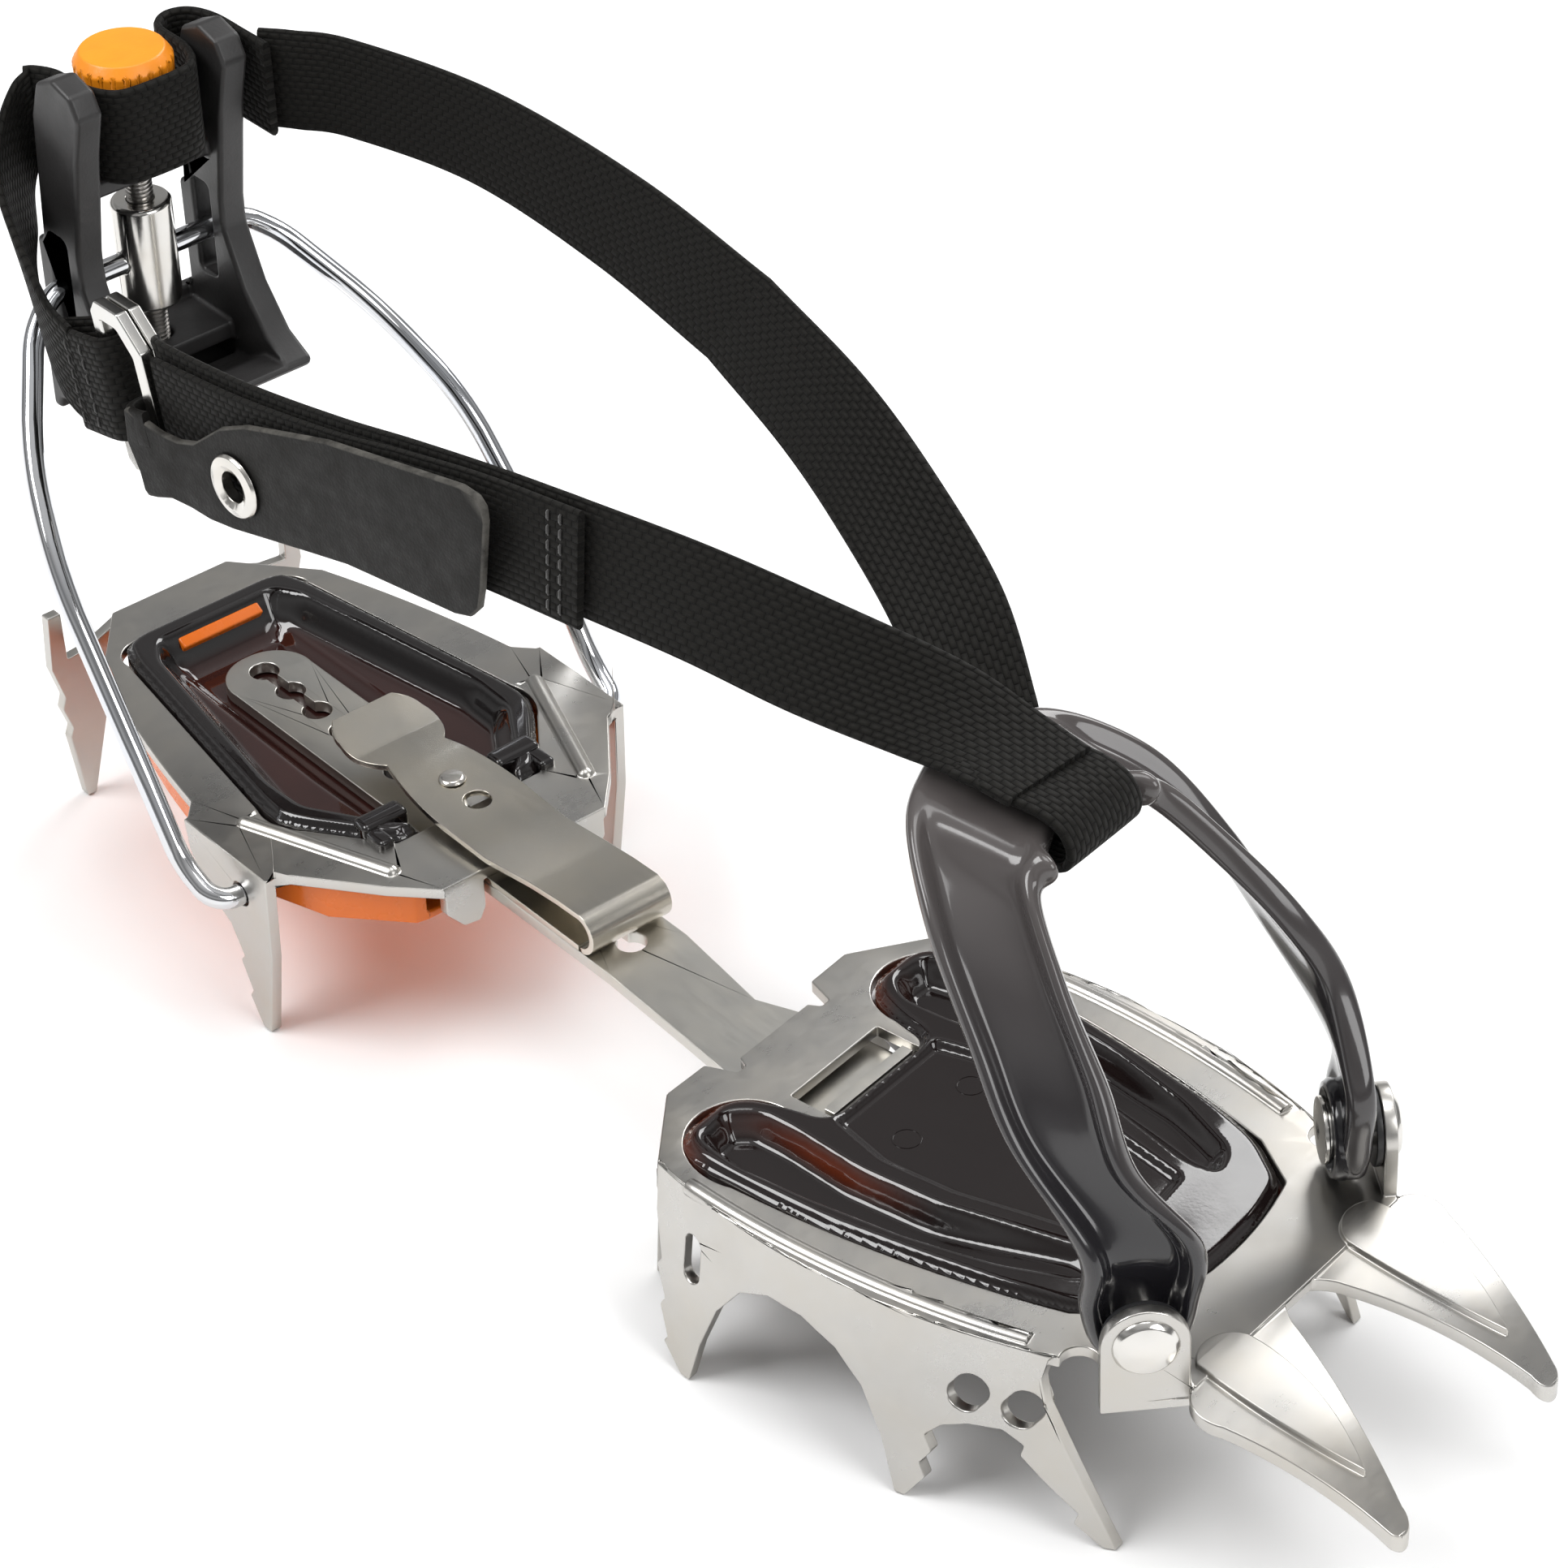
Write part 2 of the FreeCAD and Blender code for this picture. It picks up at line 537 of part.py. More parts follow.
def clip_tab():
    """Moving leaf: the fold, the long arm and the thumb tab."""
    fold = [(FOLD_X + FOLD_R * math.cos(math.radians(a)), FOLD_Z + FOLD_R * math.sin(math.radians(a)))
            for a in range(-84, 91, 12)]
    arm = fold + [(-62.0, 4.3), (-70.0, 3.6), (-82.0, 2.0), (-96.0, 2.6), (-110.0, 3.4), (-120.0, 3.2),
                  (-131.0, 4.6)]
    strip_3d = clip_strip(arm, 24.0)
    cutter = face_xy([(-133.0, -2.0), ("a", (-130.5, -7.0), (-125.0, -9.2)),
                      ("a", (-119.5, -9.2), (-114.5, -6.4)), ("a", (-104.0, -8.6), (-93.0, -9.2)),
                      (-68.0, -8.7), (-48.0, -8.7), (-48.0, 8.7), (-68.0, 8.7), (-93.0, 9.2),
                      ("a", (-104.0, 8.6), (-114.5, 6.4)), ("a", (-119.5, 9.2), (-125.0, 9.2)),
                      ("a", (-130.5, 7.0), (-133.0, 2.0))], lift(-20)).extrude(V(0, 0, 60))
    body = strip_3d.common(cutter)
    hole = cyl(2.6, 20, V(STUD_X + 7.5, 0, lift(-2)))
    seat = cyl(1.5, 20, V(STUD_X, 0, lift(-2)))
    return body.cut([hole, seat])


STUD_X = HOLE_FIRST + STUD_HOLE * HOLE_PITCH


def clip_stud():
    """Stud riveted to the arm; its nose fills a bar hole."""
    profile = [(0, 4.6), (2.0, 4.4), (2.6, 3.75), (1.5, 3.75), (1.5, 2.2), (2.35, 2.2), (2.35, -5.0),
               (1.9, -5.6), (0, -5.6)]
    return lathe(profile, V(STUD_X, 0, PLATE_TOP), UP)


# ---------------------------------------------------------------- heel wire, lever and adjuster
def heel_wire():
    """Near leg of the sprung heel wire, from the plate's side up to the barrel nut."""
    near = [(-114.0, -31.0, -7.5), (-114.0, -45.0, -7.5), (-122.5, -46.0, -2.5), (-133.0, -46.0, 14.0),
            (-155.0, -44.5, 41.0), (-171.0, -38.0, 56.0), (-184.0, -27.0, 71.0), (CROSS_X, -20.5, CROSS_Z),
            (CROSS_X, -3.4, CROSS_Z)]
    return run_round([V(x, y, lift(z)) for x, y, z in near], WIRE_R)


def barrel_nut():
    """Steel sleeve on the screw; the two wire ends turn in its side holes."""
    base = V(CROSS_X, 0, lift(66.5))
    body = lathe([(SCREW_R + THREAD_CLEAR, 0), (SLEEVE_R - 0.6, 0), (SLEEVE_R, 0.6), (SLEEVE_R, 20.4),
                  (SLEEVE_R - 0.6, 21.0), (SCREW_R + THREAD_CLEAR, 21.0)], base, UP)
    seats = pair(cyl(WIRE_R + 0.05, 10, V(CROSS_X, -3.3, lift(CROSS_Z)), V(0, -1, 0)))
    return body.cut(seats)


def heel_lever():
    """Moulded lever: two posts, a crossbar, and a foot with a lip that hooks over the boot's heel."""
    post = [(-194.0, 58), (-181.0, 58), (-180.5, 84), (-177.0, 105), (-174.5, 114.0), (-176.5, 118.0),
            (-182.0, 119.5), (-187.5, 117.0), (-190.0, 110), (-192.0, 84)]
    posts = pair(side_profile(post, -18.0, -12.5))
    bridge = box(-193.5, -180.5, -12.6, 12.6, 56.0, 59.5)
    foot_side = side_profile([(-194.0, 50), (-176.0, 50), (-169.0, 54.0), (-164.0, 55.5), (-163.6, 57.2),
                              (-170.0, 60.5), (-176.0, 68.0), (-180.4, 78.0), (-181.0, 84), (-194.0, 84)],
                             -18.0, -12.5)
    lip = side_profile([(-181.0, 50), (-176.0, 50), (-169.0, 54.0), (-164.0, 55.5), (-163.6, 57.2),
                        (-170.0, 57.0), (-176.0, 53.5), (-181.0, 53)], -12.6, 12.6)
    floor = box(-194.0, -175.5, -12.6, 12.6, 47.5, 50.5)
    back = box(-196.0, -193.4, -18.0, 18.0, 47.5, 62.0)
    seat = box(-191.0, -182.3, -12.6, 12.6, SEAT_Z - 3.5, SEAT_Z)
    body = posts[0].fuse([posts[1], bridge, lip, floor, back, seat] + pair(foot_side))
    bore = cyl(SCREW_R + 0.4, 100, V(CROSS_X, 0, lift(30)))
    slots = pair(side_profile([(CROSS_X - 2.5, 67), (CROSS_X + 2.5, 67), (CROSS_X + 2.5, 86),
                               (CROSS_X - 2.5, 86)], -30.0, -10.0))
    return body.cut([bore] + slots).removeSplitter()


def adjuster_knob():
    """Ribbed thumb knob on top of the screw, with a hub down to the lever's seat."""
    base, hub = V(CROSS_X, 0, lift(107.0)), SEAT_Z + 0.2 - 107.0
    knob = lathe([(SCREW_R, hub), (4.4, hub), (4.4, 0), (6.0, 0), (8.6, 1.4), (9.0, 8.6), (7.6, 10.6),
                  (0, 11.2), (0, 6.2), (SCREW_R, 6.2)], base, UP)
    ribs = [cyl(0.55, 12, base + V(9.25 * math.cos(a), 9.25 * math.sin(a), 0))
            for a in [math.radians(15 * i) for i in range(24)]]
    return knob.cut(ribs)


def adjuster_screw():
    """Threaded rod, at its thread's outside."""
    return cyl(SCREW_R, 62.0, V(CROSS_X, 0, lift(51.2)))


def screw_nut():
    """Locknut on the screw's lower end, inside the foot."""
    nut = Part.Face(Part.makePolygon([V(CROSS_X + 4.2 * math.cos(math.radians(60 * i)),
                                        4.2 * math.sin(math.radians(60 * i)), lift(51.6))
                                      for i in range(7)])).extrude(V(0, 0, 3.6))
    return nut.cut(cyl(SCREW_R, 20, V(CROSS_X, 0, lift(45))))


# ---------------------------------------------------------------- ankle strap
def level(points):
    return [V(x, y, lift(z)) for x, y, z in points]


def far_rear_strap():
    path = level([(-174.5, 23.2, 107.8), (-160.7, 30.2, 108.4), (-131.7, 37.0, 108.0), (-97.2, 39.5, 104.8),
                  (-62.6, 37.2, 102.1)])
    wide = [V(0, 0, WEB_W - 1), V(1, 1, WEB_W - 1), V(4, 2.5, WEB_W - 2), V(7, 5, WEB_W - 3),
            V(8.5, 7, WEB_W - 4)]
    return band(path, wide, WEB_T)


def far_front_strap():
    path = level([(-61.8, 37.1, 102.0), (-34.4, 32.0, 98.6), (-12.5, 27.0, 93.4), (6.0, 23.0, 85.0),
                  (19.0, 18.5, 75.0)])
    wide = [V(8.5, 7, WEB_W - 4), V(9, 10, WEB_W - 7), V(9, 13.5, WEB_W - 12), V(7, 17, WEB_W - 17),
            V(5, WEB_W - 2, -1)]
    return band(path, wide, WEB_T)


def near_front_strap():
    path = level([(36.4, 6.7, 81.4), (24.5, 3.5, 84.4), (6.2, -5.0, 89.0), (-14.0, -12.0, 92.2),
                  (-36.8, -18.0, 92.8)])
    wide = [V(2.5, WEB_W - 2, 2.5), V(0, 15, WEB_W - 10), V(-1, 9.5, WEB_W - 4), V(-1, 7, WEB_W - 2),
            V(-3, 4, WEB_W - 1)]
    return band(path, wide, WEB_T)


def near_rear_strap():
    path = level([(-37.6, -18.2, 92.8), (-53.0, -21.0, 92.0), (-71.0, -23.3, 89.8), (-89.5, -25.0, 86.4),
                  (-115.0, -26.3, 81.9), (-138.0, -26.8, 79.4)])
    wide = [V(-3, 4, WEB_W - 1), V(-3, 3, WEB_W - 1), V(-3, 1.5, WEB_W - 1), V(-3, 1, WEB_W - 1),
            V(-3, 1, WEB_W - 1), V(-3.5, 0, WEB_W - 1)]
    return band(path, wide, WEB_T)


def strap_tail():
    """Free end, doubled back along the outside of the near span."""
    path = level([(-33.0, -19.6, 92.4), (-53.0, -23.2, 91.2), (-71.0, -25.4, 88.6), (-89.5, -27.1, 84.8),
                  (-115.0, -28.4, 80.0), (-138.0, -28.9, 77.4)])
    wide = [V(-3, 4, WEB_W - 1), V(-3, 3, WEB_W - 1), V(-3, 1.5, WEB_W - 1), V(-3, 1, WEB_W - 1),
            V(-3, 1, WEB_W - 1), V(-3.5, 0, WEB_W - 1)]
    return band(path, wide, WEB_T)


def bail_wrap():
    """Turn of the strap round the middle of the toe bail, a little askew."""
    path = [(24.0, 4.5, 71.0), (36.0, 2.5, 69.6), (48.0, 1.0, 68.6), (52.6, 0.5, 70.4), (53.4, 0.0, 73.8),
            (51.4, -0.3, 77.2), (47.0, -1.0, 78.8), (38.5, -2.5, 80.4)]
    return ribbon([(V(x, y - 8.8, lift(z)), V(x, y + 8.8, lift(z))) for x, y, z in path], WEB_T)


def post_strap():
    """Short strap woven round the lever's far post, in front of the knob and round the near post."""
    plan = [(-176.0, 20.9), (-188.0, 20.9), (-194.5, 18.8), (-195.8, 14.6), (-192.6, 10.9), (-184.0, 10.9),
            (-178.6, 9.0), (-176.4, 5.0), (-176.4, -5.0), (-178.6, -9.0), (-184.0, -10.9), (-191.5, -10.9),
            (-195.6, -13.0)]
    start, end = 107.0, 106.3
    path = [V(x, y, lift(start + (end - start) * i / (len(plan) - 1))) for i, (x, y) in enumerate(plan)]
    return band(path, [V(0, 0, WEB_W - 1.5)] * len(plan), WEB_T)


def rear_strap():
    """Outer end of the short strap, from behind the near post down to the rings."""
    path = level([(-196.8, -14.6, 104.8), (-196.4, -18.6, 98.8), (-192.7, -21.8, 93.4), (-187.5, -25.2, 88.8),
                  (-178.0, -28.8, 82.4), (-169.0, -30.9, 76.4), (-161.0, -31.2, 74.4)])
    wide = [V(0, -2, WEB_W - 1.5), V(1, -5, WEB_W - 2), V(0, -6, WEB_W - 3.5), V(0, -4, WEB_W - 4),
            V(-2, -1, WEB_W - 3), V(-3.5, 0, WEB_W - 1.5), V(-4.6, 0, WEB_W - 1.5)]
    return band(path, wide, WEB_T)


def ring_loop():
    """End of the short strap, turned round the rings' rear bars and sewn back."""
    path = [(-160.0, -31.2), (-154.0, -31.4), (-151.0, -31.0), (-149.7, -29.0), (-149.7, -25.8),
            (-151.0, -23.8), (-154.0, -23.4), (-160.0, -23.8)]
    half, mid = WEB_W / 2, RING_LOW + RING_H / 2
    return tilted(ribbon([(V(x, y, lift(mid - half)), V(x, y, lift(mid + half))) for x, y in path], WEB_T))




def tilted(shape):
    """Lean a piece back about the rings' middle."""
    middle = V(RING_X + RING_W / 2, 0, lift(RING_LOW + RING_H / 2))
    shape.rotate(middle, V(0, 1, 0), RING_TILT)
    return shape


def d_ring(y):
    """Flat D-shaped ring, standing on edge with its straight bar at the rear."""
    w, h, bar = RING_W, RING_H, 3.0
    rim = [(0, 2), (2, 0), (w - 5, 1.5), (w, 8), (w, h - 8), (w - 5, h - 1.5), (2, h), (0, h - 2)]
    gap = [(bar, bar + 0.4), (w - 6.4, 4.6), (w - bar, 9.2), (w - bar, h - 9.2), (w - 6.4, h - 4.6),
           (bar, h - bar - 0.4)]
    ring = side_profile([(RING_X + a, RING_LOW + b) for a, b in rim], y - RING_T / 2, y + RING_T / 2)
    return tilted(ring.cut(side_profile([(RING_X + a, RING_LOW + b) for a, b in gap], y - 5, y + 5)))


TAB_START = V(-140.0, -33.1, 0)
EYELET_X, EYELET_Z = -113.1, 75.2


def slanted(shape):
    """Turn a piece of the pull tab about its rear end to the tab's own direction."""
    shape.rotate(TAB_START, UP, TAB_SLANT)
    return shape


def pull_tab():
    """Leather-like tab hooked round the ring's front bar and lying along the near span."""
    outline = [(-142.6, 71.2), (-140.0, 61.5), (-132.3, 64.3), (-121.8, 64.4), (-115.5, 65.3), (-84.5, 72.4),
               (-54.7, 76.2), (-50.0, 78.6), (-48.2, 82.5), (-46.1, 98.6), (-47.6, 101.4), (-51.6, 102.2),
               (-87.4, 95.0), (-109.4, 88.3), (-116.5, 84.7), (-124.1, 78.5), (-134.0, 76.4), (-142.6, 77.4)]
    outer = TAB_START.y - TAB_T / 2
    tab = slanted(side_profile(outline, outer, outer + TAB_T))
    bend = [(-140.6, -33.0), (-143.6, -32.6), (-145.3, -30.8), (-145.6, -27.4), (-145.4, -24.9),
            (-144.2, -23.4), (-141.5, -22.9)]
    fold = tilted(ribbon([(V(x, y, lift(69.8)), V(x, y, lift(76.2))) for x, y in bend], TAB_T))
    hole = slanted(cyl(4.0, 20, V(EYELET_X, TAB_START.y - 10, lift(EYELET_Z)), V(0, 1, 0)))
    return tab.fuse(fold).cut(hole).removeSplitter()


def tab_eyelet():
    """Pressed eyelet in the pull tab."""
    return slanted(lathe([(2.9, 0.5), (4.2, 1.1), (5.6, 0.7), (6.0, 0.05), (3.95, 0.05), (3.95, -TAB_T),
                          (2.9, -TAB_T)],
                         V(EYELET_X, TAB_START.y - TAB_T / 2, lift(EYELET_Z)), V(0, -1, 0)))


# ---------------------------------------------------------------- export
def write(name, group, shapes):
    """One STEP per node, moved to the row's own origin."""
    solids = []
    for shape in shapes:
        if group == FRONT:
            place_front(shape)
        shape.translate(V(ROW_X, ROW_Y, 0))
        solids += shape.Solids
    out = solids[0] if len(solids) == 1 else Part.makeCompound(solids)
    size = out.BoundBox
    bad = [s for s in solids if not s.isValid() or s.Volume <= 0]
    print(f"{name:20s} solids {len(solids)} bad {len(bad)} vol {out.Volume:9.1f} "
          f"x {size.XMin:7.1f} {size.XMax:7.1f} y {size.YMin:7.1f} {size.YMax:7.1f} "
          f"z {size.ZMin:6.1f} {size.ZMax:6.1f}")
    out.exportStep(f"parts/{name}.step")
    return size


def main():
    os.makedirs("parts", exist_ok=True)
    nodes = [
        ("front_plate", FRONT, [front_plate()]),
        ("front_guard", FRONT, [front_guard()]),
        ("toe_bail", FRONT, [toe_bail()]),
        ("bail_rivets", FRONT, pair(bail_rivet())),
        ("bail_washers", FRONT, pair(bail_washer())),
        ("bail_wrap", FRONT, [bail_wrap()]),
        ("center_bar", REAR, [center_bar()]),
        ("heel_plate", REAR, [heel_plate()]),
        ("heel_guard", REAR, [heel_guard()]),
        ("heel_guard_base", REAR, [heel_guard_base()]),
        ("clip_leaf", REAR, [clip_leaf()]),
        ("clip_tab", REAR, [clip_tab()]),
        ("clip_stud", REAR, [clip_stud()]),
        ("heel_wire", REAR, pair(heel_wire())),
        ("barrel_nut", REAR, [barrel_nut()]),
        ("heel_lever", REAR, [heel_lever()]),
        ("adjuster_knob", REAR, [adjuster_knob()]),
        ("adjuster_screw", REAR, [adjuster_screw()]),
        ("screw_nut", REAR, [screw_nut()]),
        ("strap_far_rear", REAR, [far_rear_strap()]),
        ("strap_far_front", REAR, [far_front_strap()]),
        ("strap_near_front", REAR, [near_front_strap()]),
        ("strap_near_rear", REAR, [near_rear_strap()]),
        ("strap_tail", REAR, [strap_tail()]),
        ("post_strap", REAR, [post_strap()]),
        ("rear_strap", REAR, [rear_strap()]),
        ("ring_loop", REAR, [ring_loop()]),
        ("d_ring_outer", REAR, [d_ring(-28.75)]),
        ("d_ring_inner", REAR, [d_ring(-26.05)]),
        ("pull_tab", REAR, [pull_tab()]),
        ("tab_eyelet", REAR, [tab_eyelet()]),
    ]
    whole = FreeCAD.BoundBox()
    for name, group, shapes in nodes:
        whole.add(write(name, group, shapes))
    print("whole", whole)


main()
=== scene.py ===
"""Looks of a step-in crampon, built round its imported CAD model."""

import json
import math

import bmesh
import bpy
from mathutils import Matrix, Vector
from mathutils.geometry import delaunay_2d_cdt
from mathutils.kdtree import KDTree


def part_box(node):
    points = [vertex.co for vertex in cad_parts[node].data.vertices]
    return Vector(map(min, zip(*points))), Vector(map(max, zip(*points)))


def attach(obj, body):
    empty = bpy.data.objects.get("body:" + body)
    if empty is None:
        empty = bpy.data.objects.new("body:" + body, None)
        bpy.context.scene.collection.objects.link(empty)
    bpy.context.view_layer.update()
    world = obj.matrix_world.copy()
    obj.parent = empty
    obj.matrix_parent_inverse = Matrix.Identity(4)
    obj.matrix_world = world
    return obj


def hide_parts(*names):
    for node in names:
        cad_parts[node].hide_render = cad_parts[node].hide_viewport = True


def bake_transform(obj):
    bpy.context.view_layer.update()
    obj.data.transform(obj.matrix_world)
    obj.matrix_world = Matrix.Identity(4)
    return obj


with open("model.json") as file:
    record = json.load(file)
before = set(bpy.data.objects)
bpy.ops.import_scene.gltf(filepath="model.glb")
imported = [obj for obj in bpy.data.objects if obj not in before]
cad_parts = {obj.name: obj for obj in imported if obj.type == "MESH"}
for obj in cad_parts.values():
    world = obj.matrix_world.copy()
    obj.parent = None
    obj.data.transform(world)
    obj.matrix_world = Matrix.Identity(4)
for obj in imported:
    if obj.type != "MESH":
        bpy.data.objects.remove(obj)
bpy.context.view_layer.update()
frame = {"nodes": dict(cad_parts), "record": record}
record = frame["record"]
joints = {j["name"]: j for j in record["behaviour"]["joints"]}

MM = 0.001
TOE_OUT = math.radians(10.8)                       # the front section's turn from the heel section's line
FRONT_STEP = Vector((0, 2.7, 0)) * MM              # and its sideways step from the bar's hook
# the bar's hook at the level of the plates' top, found from the wire's pivot
HOOK = Vector(joints["heel_wire_hinge"]["pos_m"]) - Vector((-114.0, 0.0, -7.5)) * MM
UP = Vector((0, 0, 1))


def rear(x, y, z):
    """Row point of millimetres counted from the bar's hook, along the heel section."""
    return HOOK + Vector((x, y, z)) * MM


def front(x, y, z):
    """Row point of millimetres counted from the bar's hook, along the turned front section."""
    return HOOK + FRONT_STEP + Matrix.Rotation(TOE_OUT, 3, "Z") @ Vector((x, y, z)) * MM


# ------------------------------------------------------------------ shader helpers
class Shader:
    """A Principled material and short calls for the nodes that feed it."""

    def __init__(self, name, color, metallic=0.0, roughness=0.5, **sockets):
        self.mat = bpy.data.materials.new(name)
        self.mat.use_nodes = True
        self.nodes, self.links = self.mat.node_tree.nodes, self.mat.node_tree.links
        self.bsdf = self.nodes["Principled BSDF"]
        self.bsdf.inputs["Base Color"].default_value = (*color, 1)
        self.bsdf.inputs["Metallic"].default_value = metallic
        self.bsdf.inputs["Roughness"].default_value = roughness
        for label, value in sockets.items():
            self.bsdf.inputs[label.replace("_", " ")].default_value = value
        self.where = self.nodes.new("ShaderNodeTexCoord").outputs["Object"]

    def add(self, kind, **values):
        node = self.nodes.new("ShaderNode" + kind)
        for label, value in values.items():
            label = label.replace("_", " ")
            if isinstance(value, bpy.types.NodeSocket):
                self.links.new(value, node.inputs[label])
            else:
                node.inputs[label].default_value = value
        return node

    def scaled(self, x, y, z):
        """Object coordinates stretched by three factors."""
        node = self.add("Mapping", Vector=self.where)
        node.inputs["Scale"].default_value = (x, y, z)
        return node.outputs["Vector"]

    def noise(self, scale, detail=3.0, roughness=0.55, vector=None):
        node = self.add("TexNoise", Vector=vector or self.where, Scale=scale, Detail=detail,
                        Roughness=roughness)
        return node.outputs["Fac"]

    def math(self, operation, a, b=0.0, c=0.0):
        node = self.nodes.new("ShaderNodeMath")
        node.operation = operation
        for i, value in enumerate((a, b, c)):
            if isinstance(value, bpy.types.NodeSocket):
                self.links.new(value, node.inputs[i])
            else:
                node.inputs[i].default_value = value
        return node.outputs[0]

    def range(self, value, low, high, to_low, to_high):
        node = self.nodes.new("ShaderNodeMapRange")
        self.links.new(value, node.inputs["Value"])
        for i, number in enumerate((low, high, to_low, to_high)):
            node.inputs[i + 1].default_value = number
        return node.outputs["Result"]

    def mix(self, factor, a, b):
        """Colour between a and b."""
        node = self.nodes.new("ShaderNodeMix")
        node.data_type = "RGBA"
        self.links.new(factor, node.inputs[0])
        for socket, value in ((node.inputs[6], a), (node.inputs[7], b)):
            if isinstance(value, bpy.types.NodeSocket):
                self.links.new(value, socket)
            else:
                socket.default_value = (*value, 1)
        return node.outputs[2]

    def feed(self, socket, value):
        self.links.new(value, self.bsdf.inputs[socket])
        return self

    def bump(self, *layers):
        """Bump from (height socket, distance in metres) layers."""
        normal = None
        for height, distance in layers:
            node = self.add("Bump", Strength=1.0, Distance=distance, Height=height)
            if normal:
                self.links.new(normal, node.inputs["Normal"])
            normal = node.outputs["Normal"]
        self.links.new(normal, self.bsdf.inputs["Normal"])
        return self


def steel(name, color, rough_low, rough_high, grain=(1, 1, 1), pits=0.00002, stain=0.12):
    """Bare steel: soft uneven tumbling, fine grain, small pits and faint staining."""
    s = Shader(name, color, metallic=1.0, roughness=rough_low)
    clouds = s.noise(55, 4, 0.6)
    fine = s.noise(900, 2, 0.7, s.scaled(*grain))
    s.feed("Roughness", s.range(s.math("MULTIPLY_ADD", fine, 0.35, clouds), 0.45, 0.95, rough_low,
                                rough_high))
    dark = tuple(c * (1 - stain) for c in color)
    warm = (color[0] * 1.0, color[1] * 0.97, color[2] * 0.92)
    tone = s.mix(s.range(clouds, 0.35, 0.7, 0.0, 1.0), color, warm)
    s.feed("Base Color", s.mix(s.range(s.noise(16, 5, 0.65), 0.55, 0.8, 0.0, 1.0), tone, dark))
    s.bump((s.noise(38, 1, 0.4), 0.00006), (fine, pits))
    return s.mat


def gloss_plastic(name, deep, edge=None, roughness=0.12, **sockets):
    """Clear-coated moulding; thin edges let more colour through when an edge colour is given."""
    s = Shader(name, deep, roughness=roughness, **sockets)
    cloud = s.noise(28, 3, 0.5)
    if edge:
        rim = s.add("Attribute")
        rim.attribute_name = "thin"
        amount = s.math("MULTIPLY", s.range(rim.outputs["Fac"], 0.0, 1.0, 0.0, 1.0),
                        s.range(cloud, 0.3, 0.7, 0.7, 1.0))
        s.feed("Base Color", s.mix(amount, deep, edge))
    else:
        s.feed("Base Color", s.mix(s.range(cloud, 0.35, 0.65, 0.0, 1.0), deep, tuple(c * 0.8 for c in deep)))
    s.feed("Roughness", s.range(s.noise(160, 3, 0.6), 0.3, 0.8, roughness * 0.7, roughness * 1.6))
    s.bump((s.noise(45, 2, 0.4), 0.00010), (s.noise(1500, 1, 0.5), 0.000003))
    return s.mat


def smoked(name, deep, pale, low, high):
    """Smoke-tinted clear moulding: painted top light makes it paler with height towards its top, and it is paler
    along its thin edges.
    """
    s = Shader(name, deep, roughness=0.14, Coat_Weight=0.25)
    split = s.add("SeparateXYZ", Vector=s.where)
    # painted top light: the colour pales with height between low and high, standing in for light falling on the
    # top
    rise = s.range(s.math("MULTIPLY_ADD", s.noise(30, 3, 0.5), 0.012, split.outputs["Z"]), low, high, 0.0,
                   1.0)
    rim = s.add("Attribute")
    rim.attribute_name = "thin"
    top_lit_tint = s.mix(s.math("POWER", rise, 2.6), deep, pale)
    s.feed("Base Color", s.mix(s.math("MULTIPLY", rim.outputs["Fac"], 0.45), top_lit_tint,
                               tuple(c * 0.9 for c in pale)))
    s.feed("Roughness", s.range(s.noise(160, 3, 0.6), 0.3, 0.8, 0.10, 0.20))
    s.bump((s.noise(45, 2, 0.4), 0.00008), (s.noise(1500, 1, 0.5), 0.000003))
    return s.mat


def moulded(name, color, roughness=0.45, grain=0.00003):
    """Matte moulded plastic with a fine spark-eroded grain."""
    s = Shader(name, color, roughness=roughness)
    grit = s.noise(1400, 2, 0.6)
    s.feed("Roughness", s.range(s.noise(90, 3, 0.6), 0.3, 0.75, roughness * 0.8, roughness * 1.25))
    s.feed("Base Color", s.mix(s.range(s.noise(60, 4, 0.6), 0.4, 0.75, 0.0, 1.0), color,
                               tuple(c * 0.82 for c in color)))
    s.bump((grit, grain), (s.noise(130, 2, 0.5), 0.00004))
    return s.mat


WARP, PICK = 1.15, 2.3          # webbing: yarn width across, length of one float along, millimetres


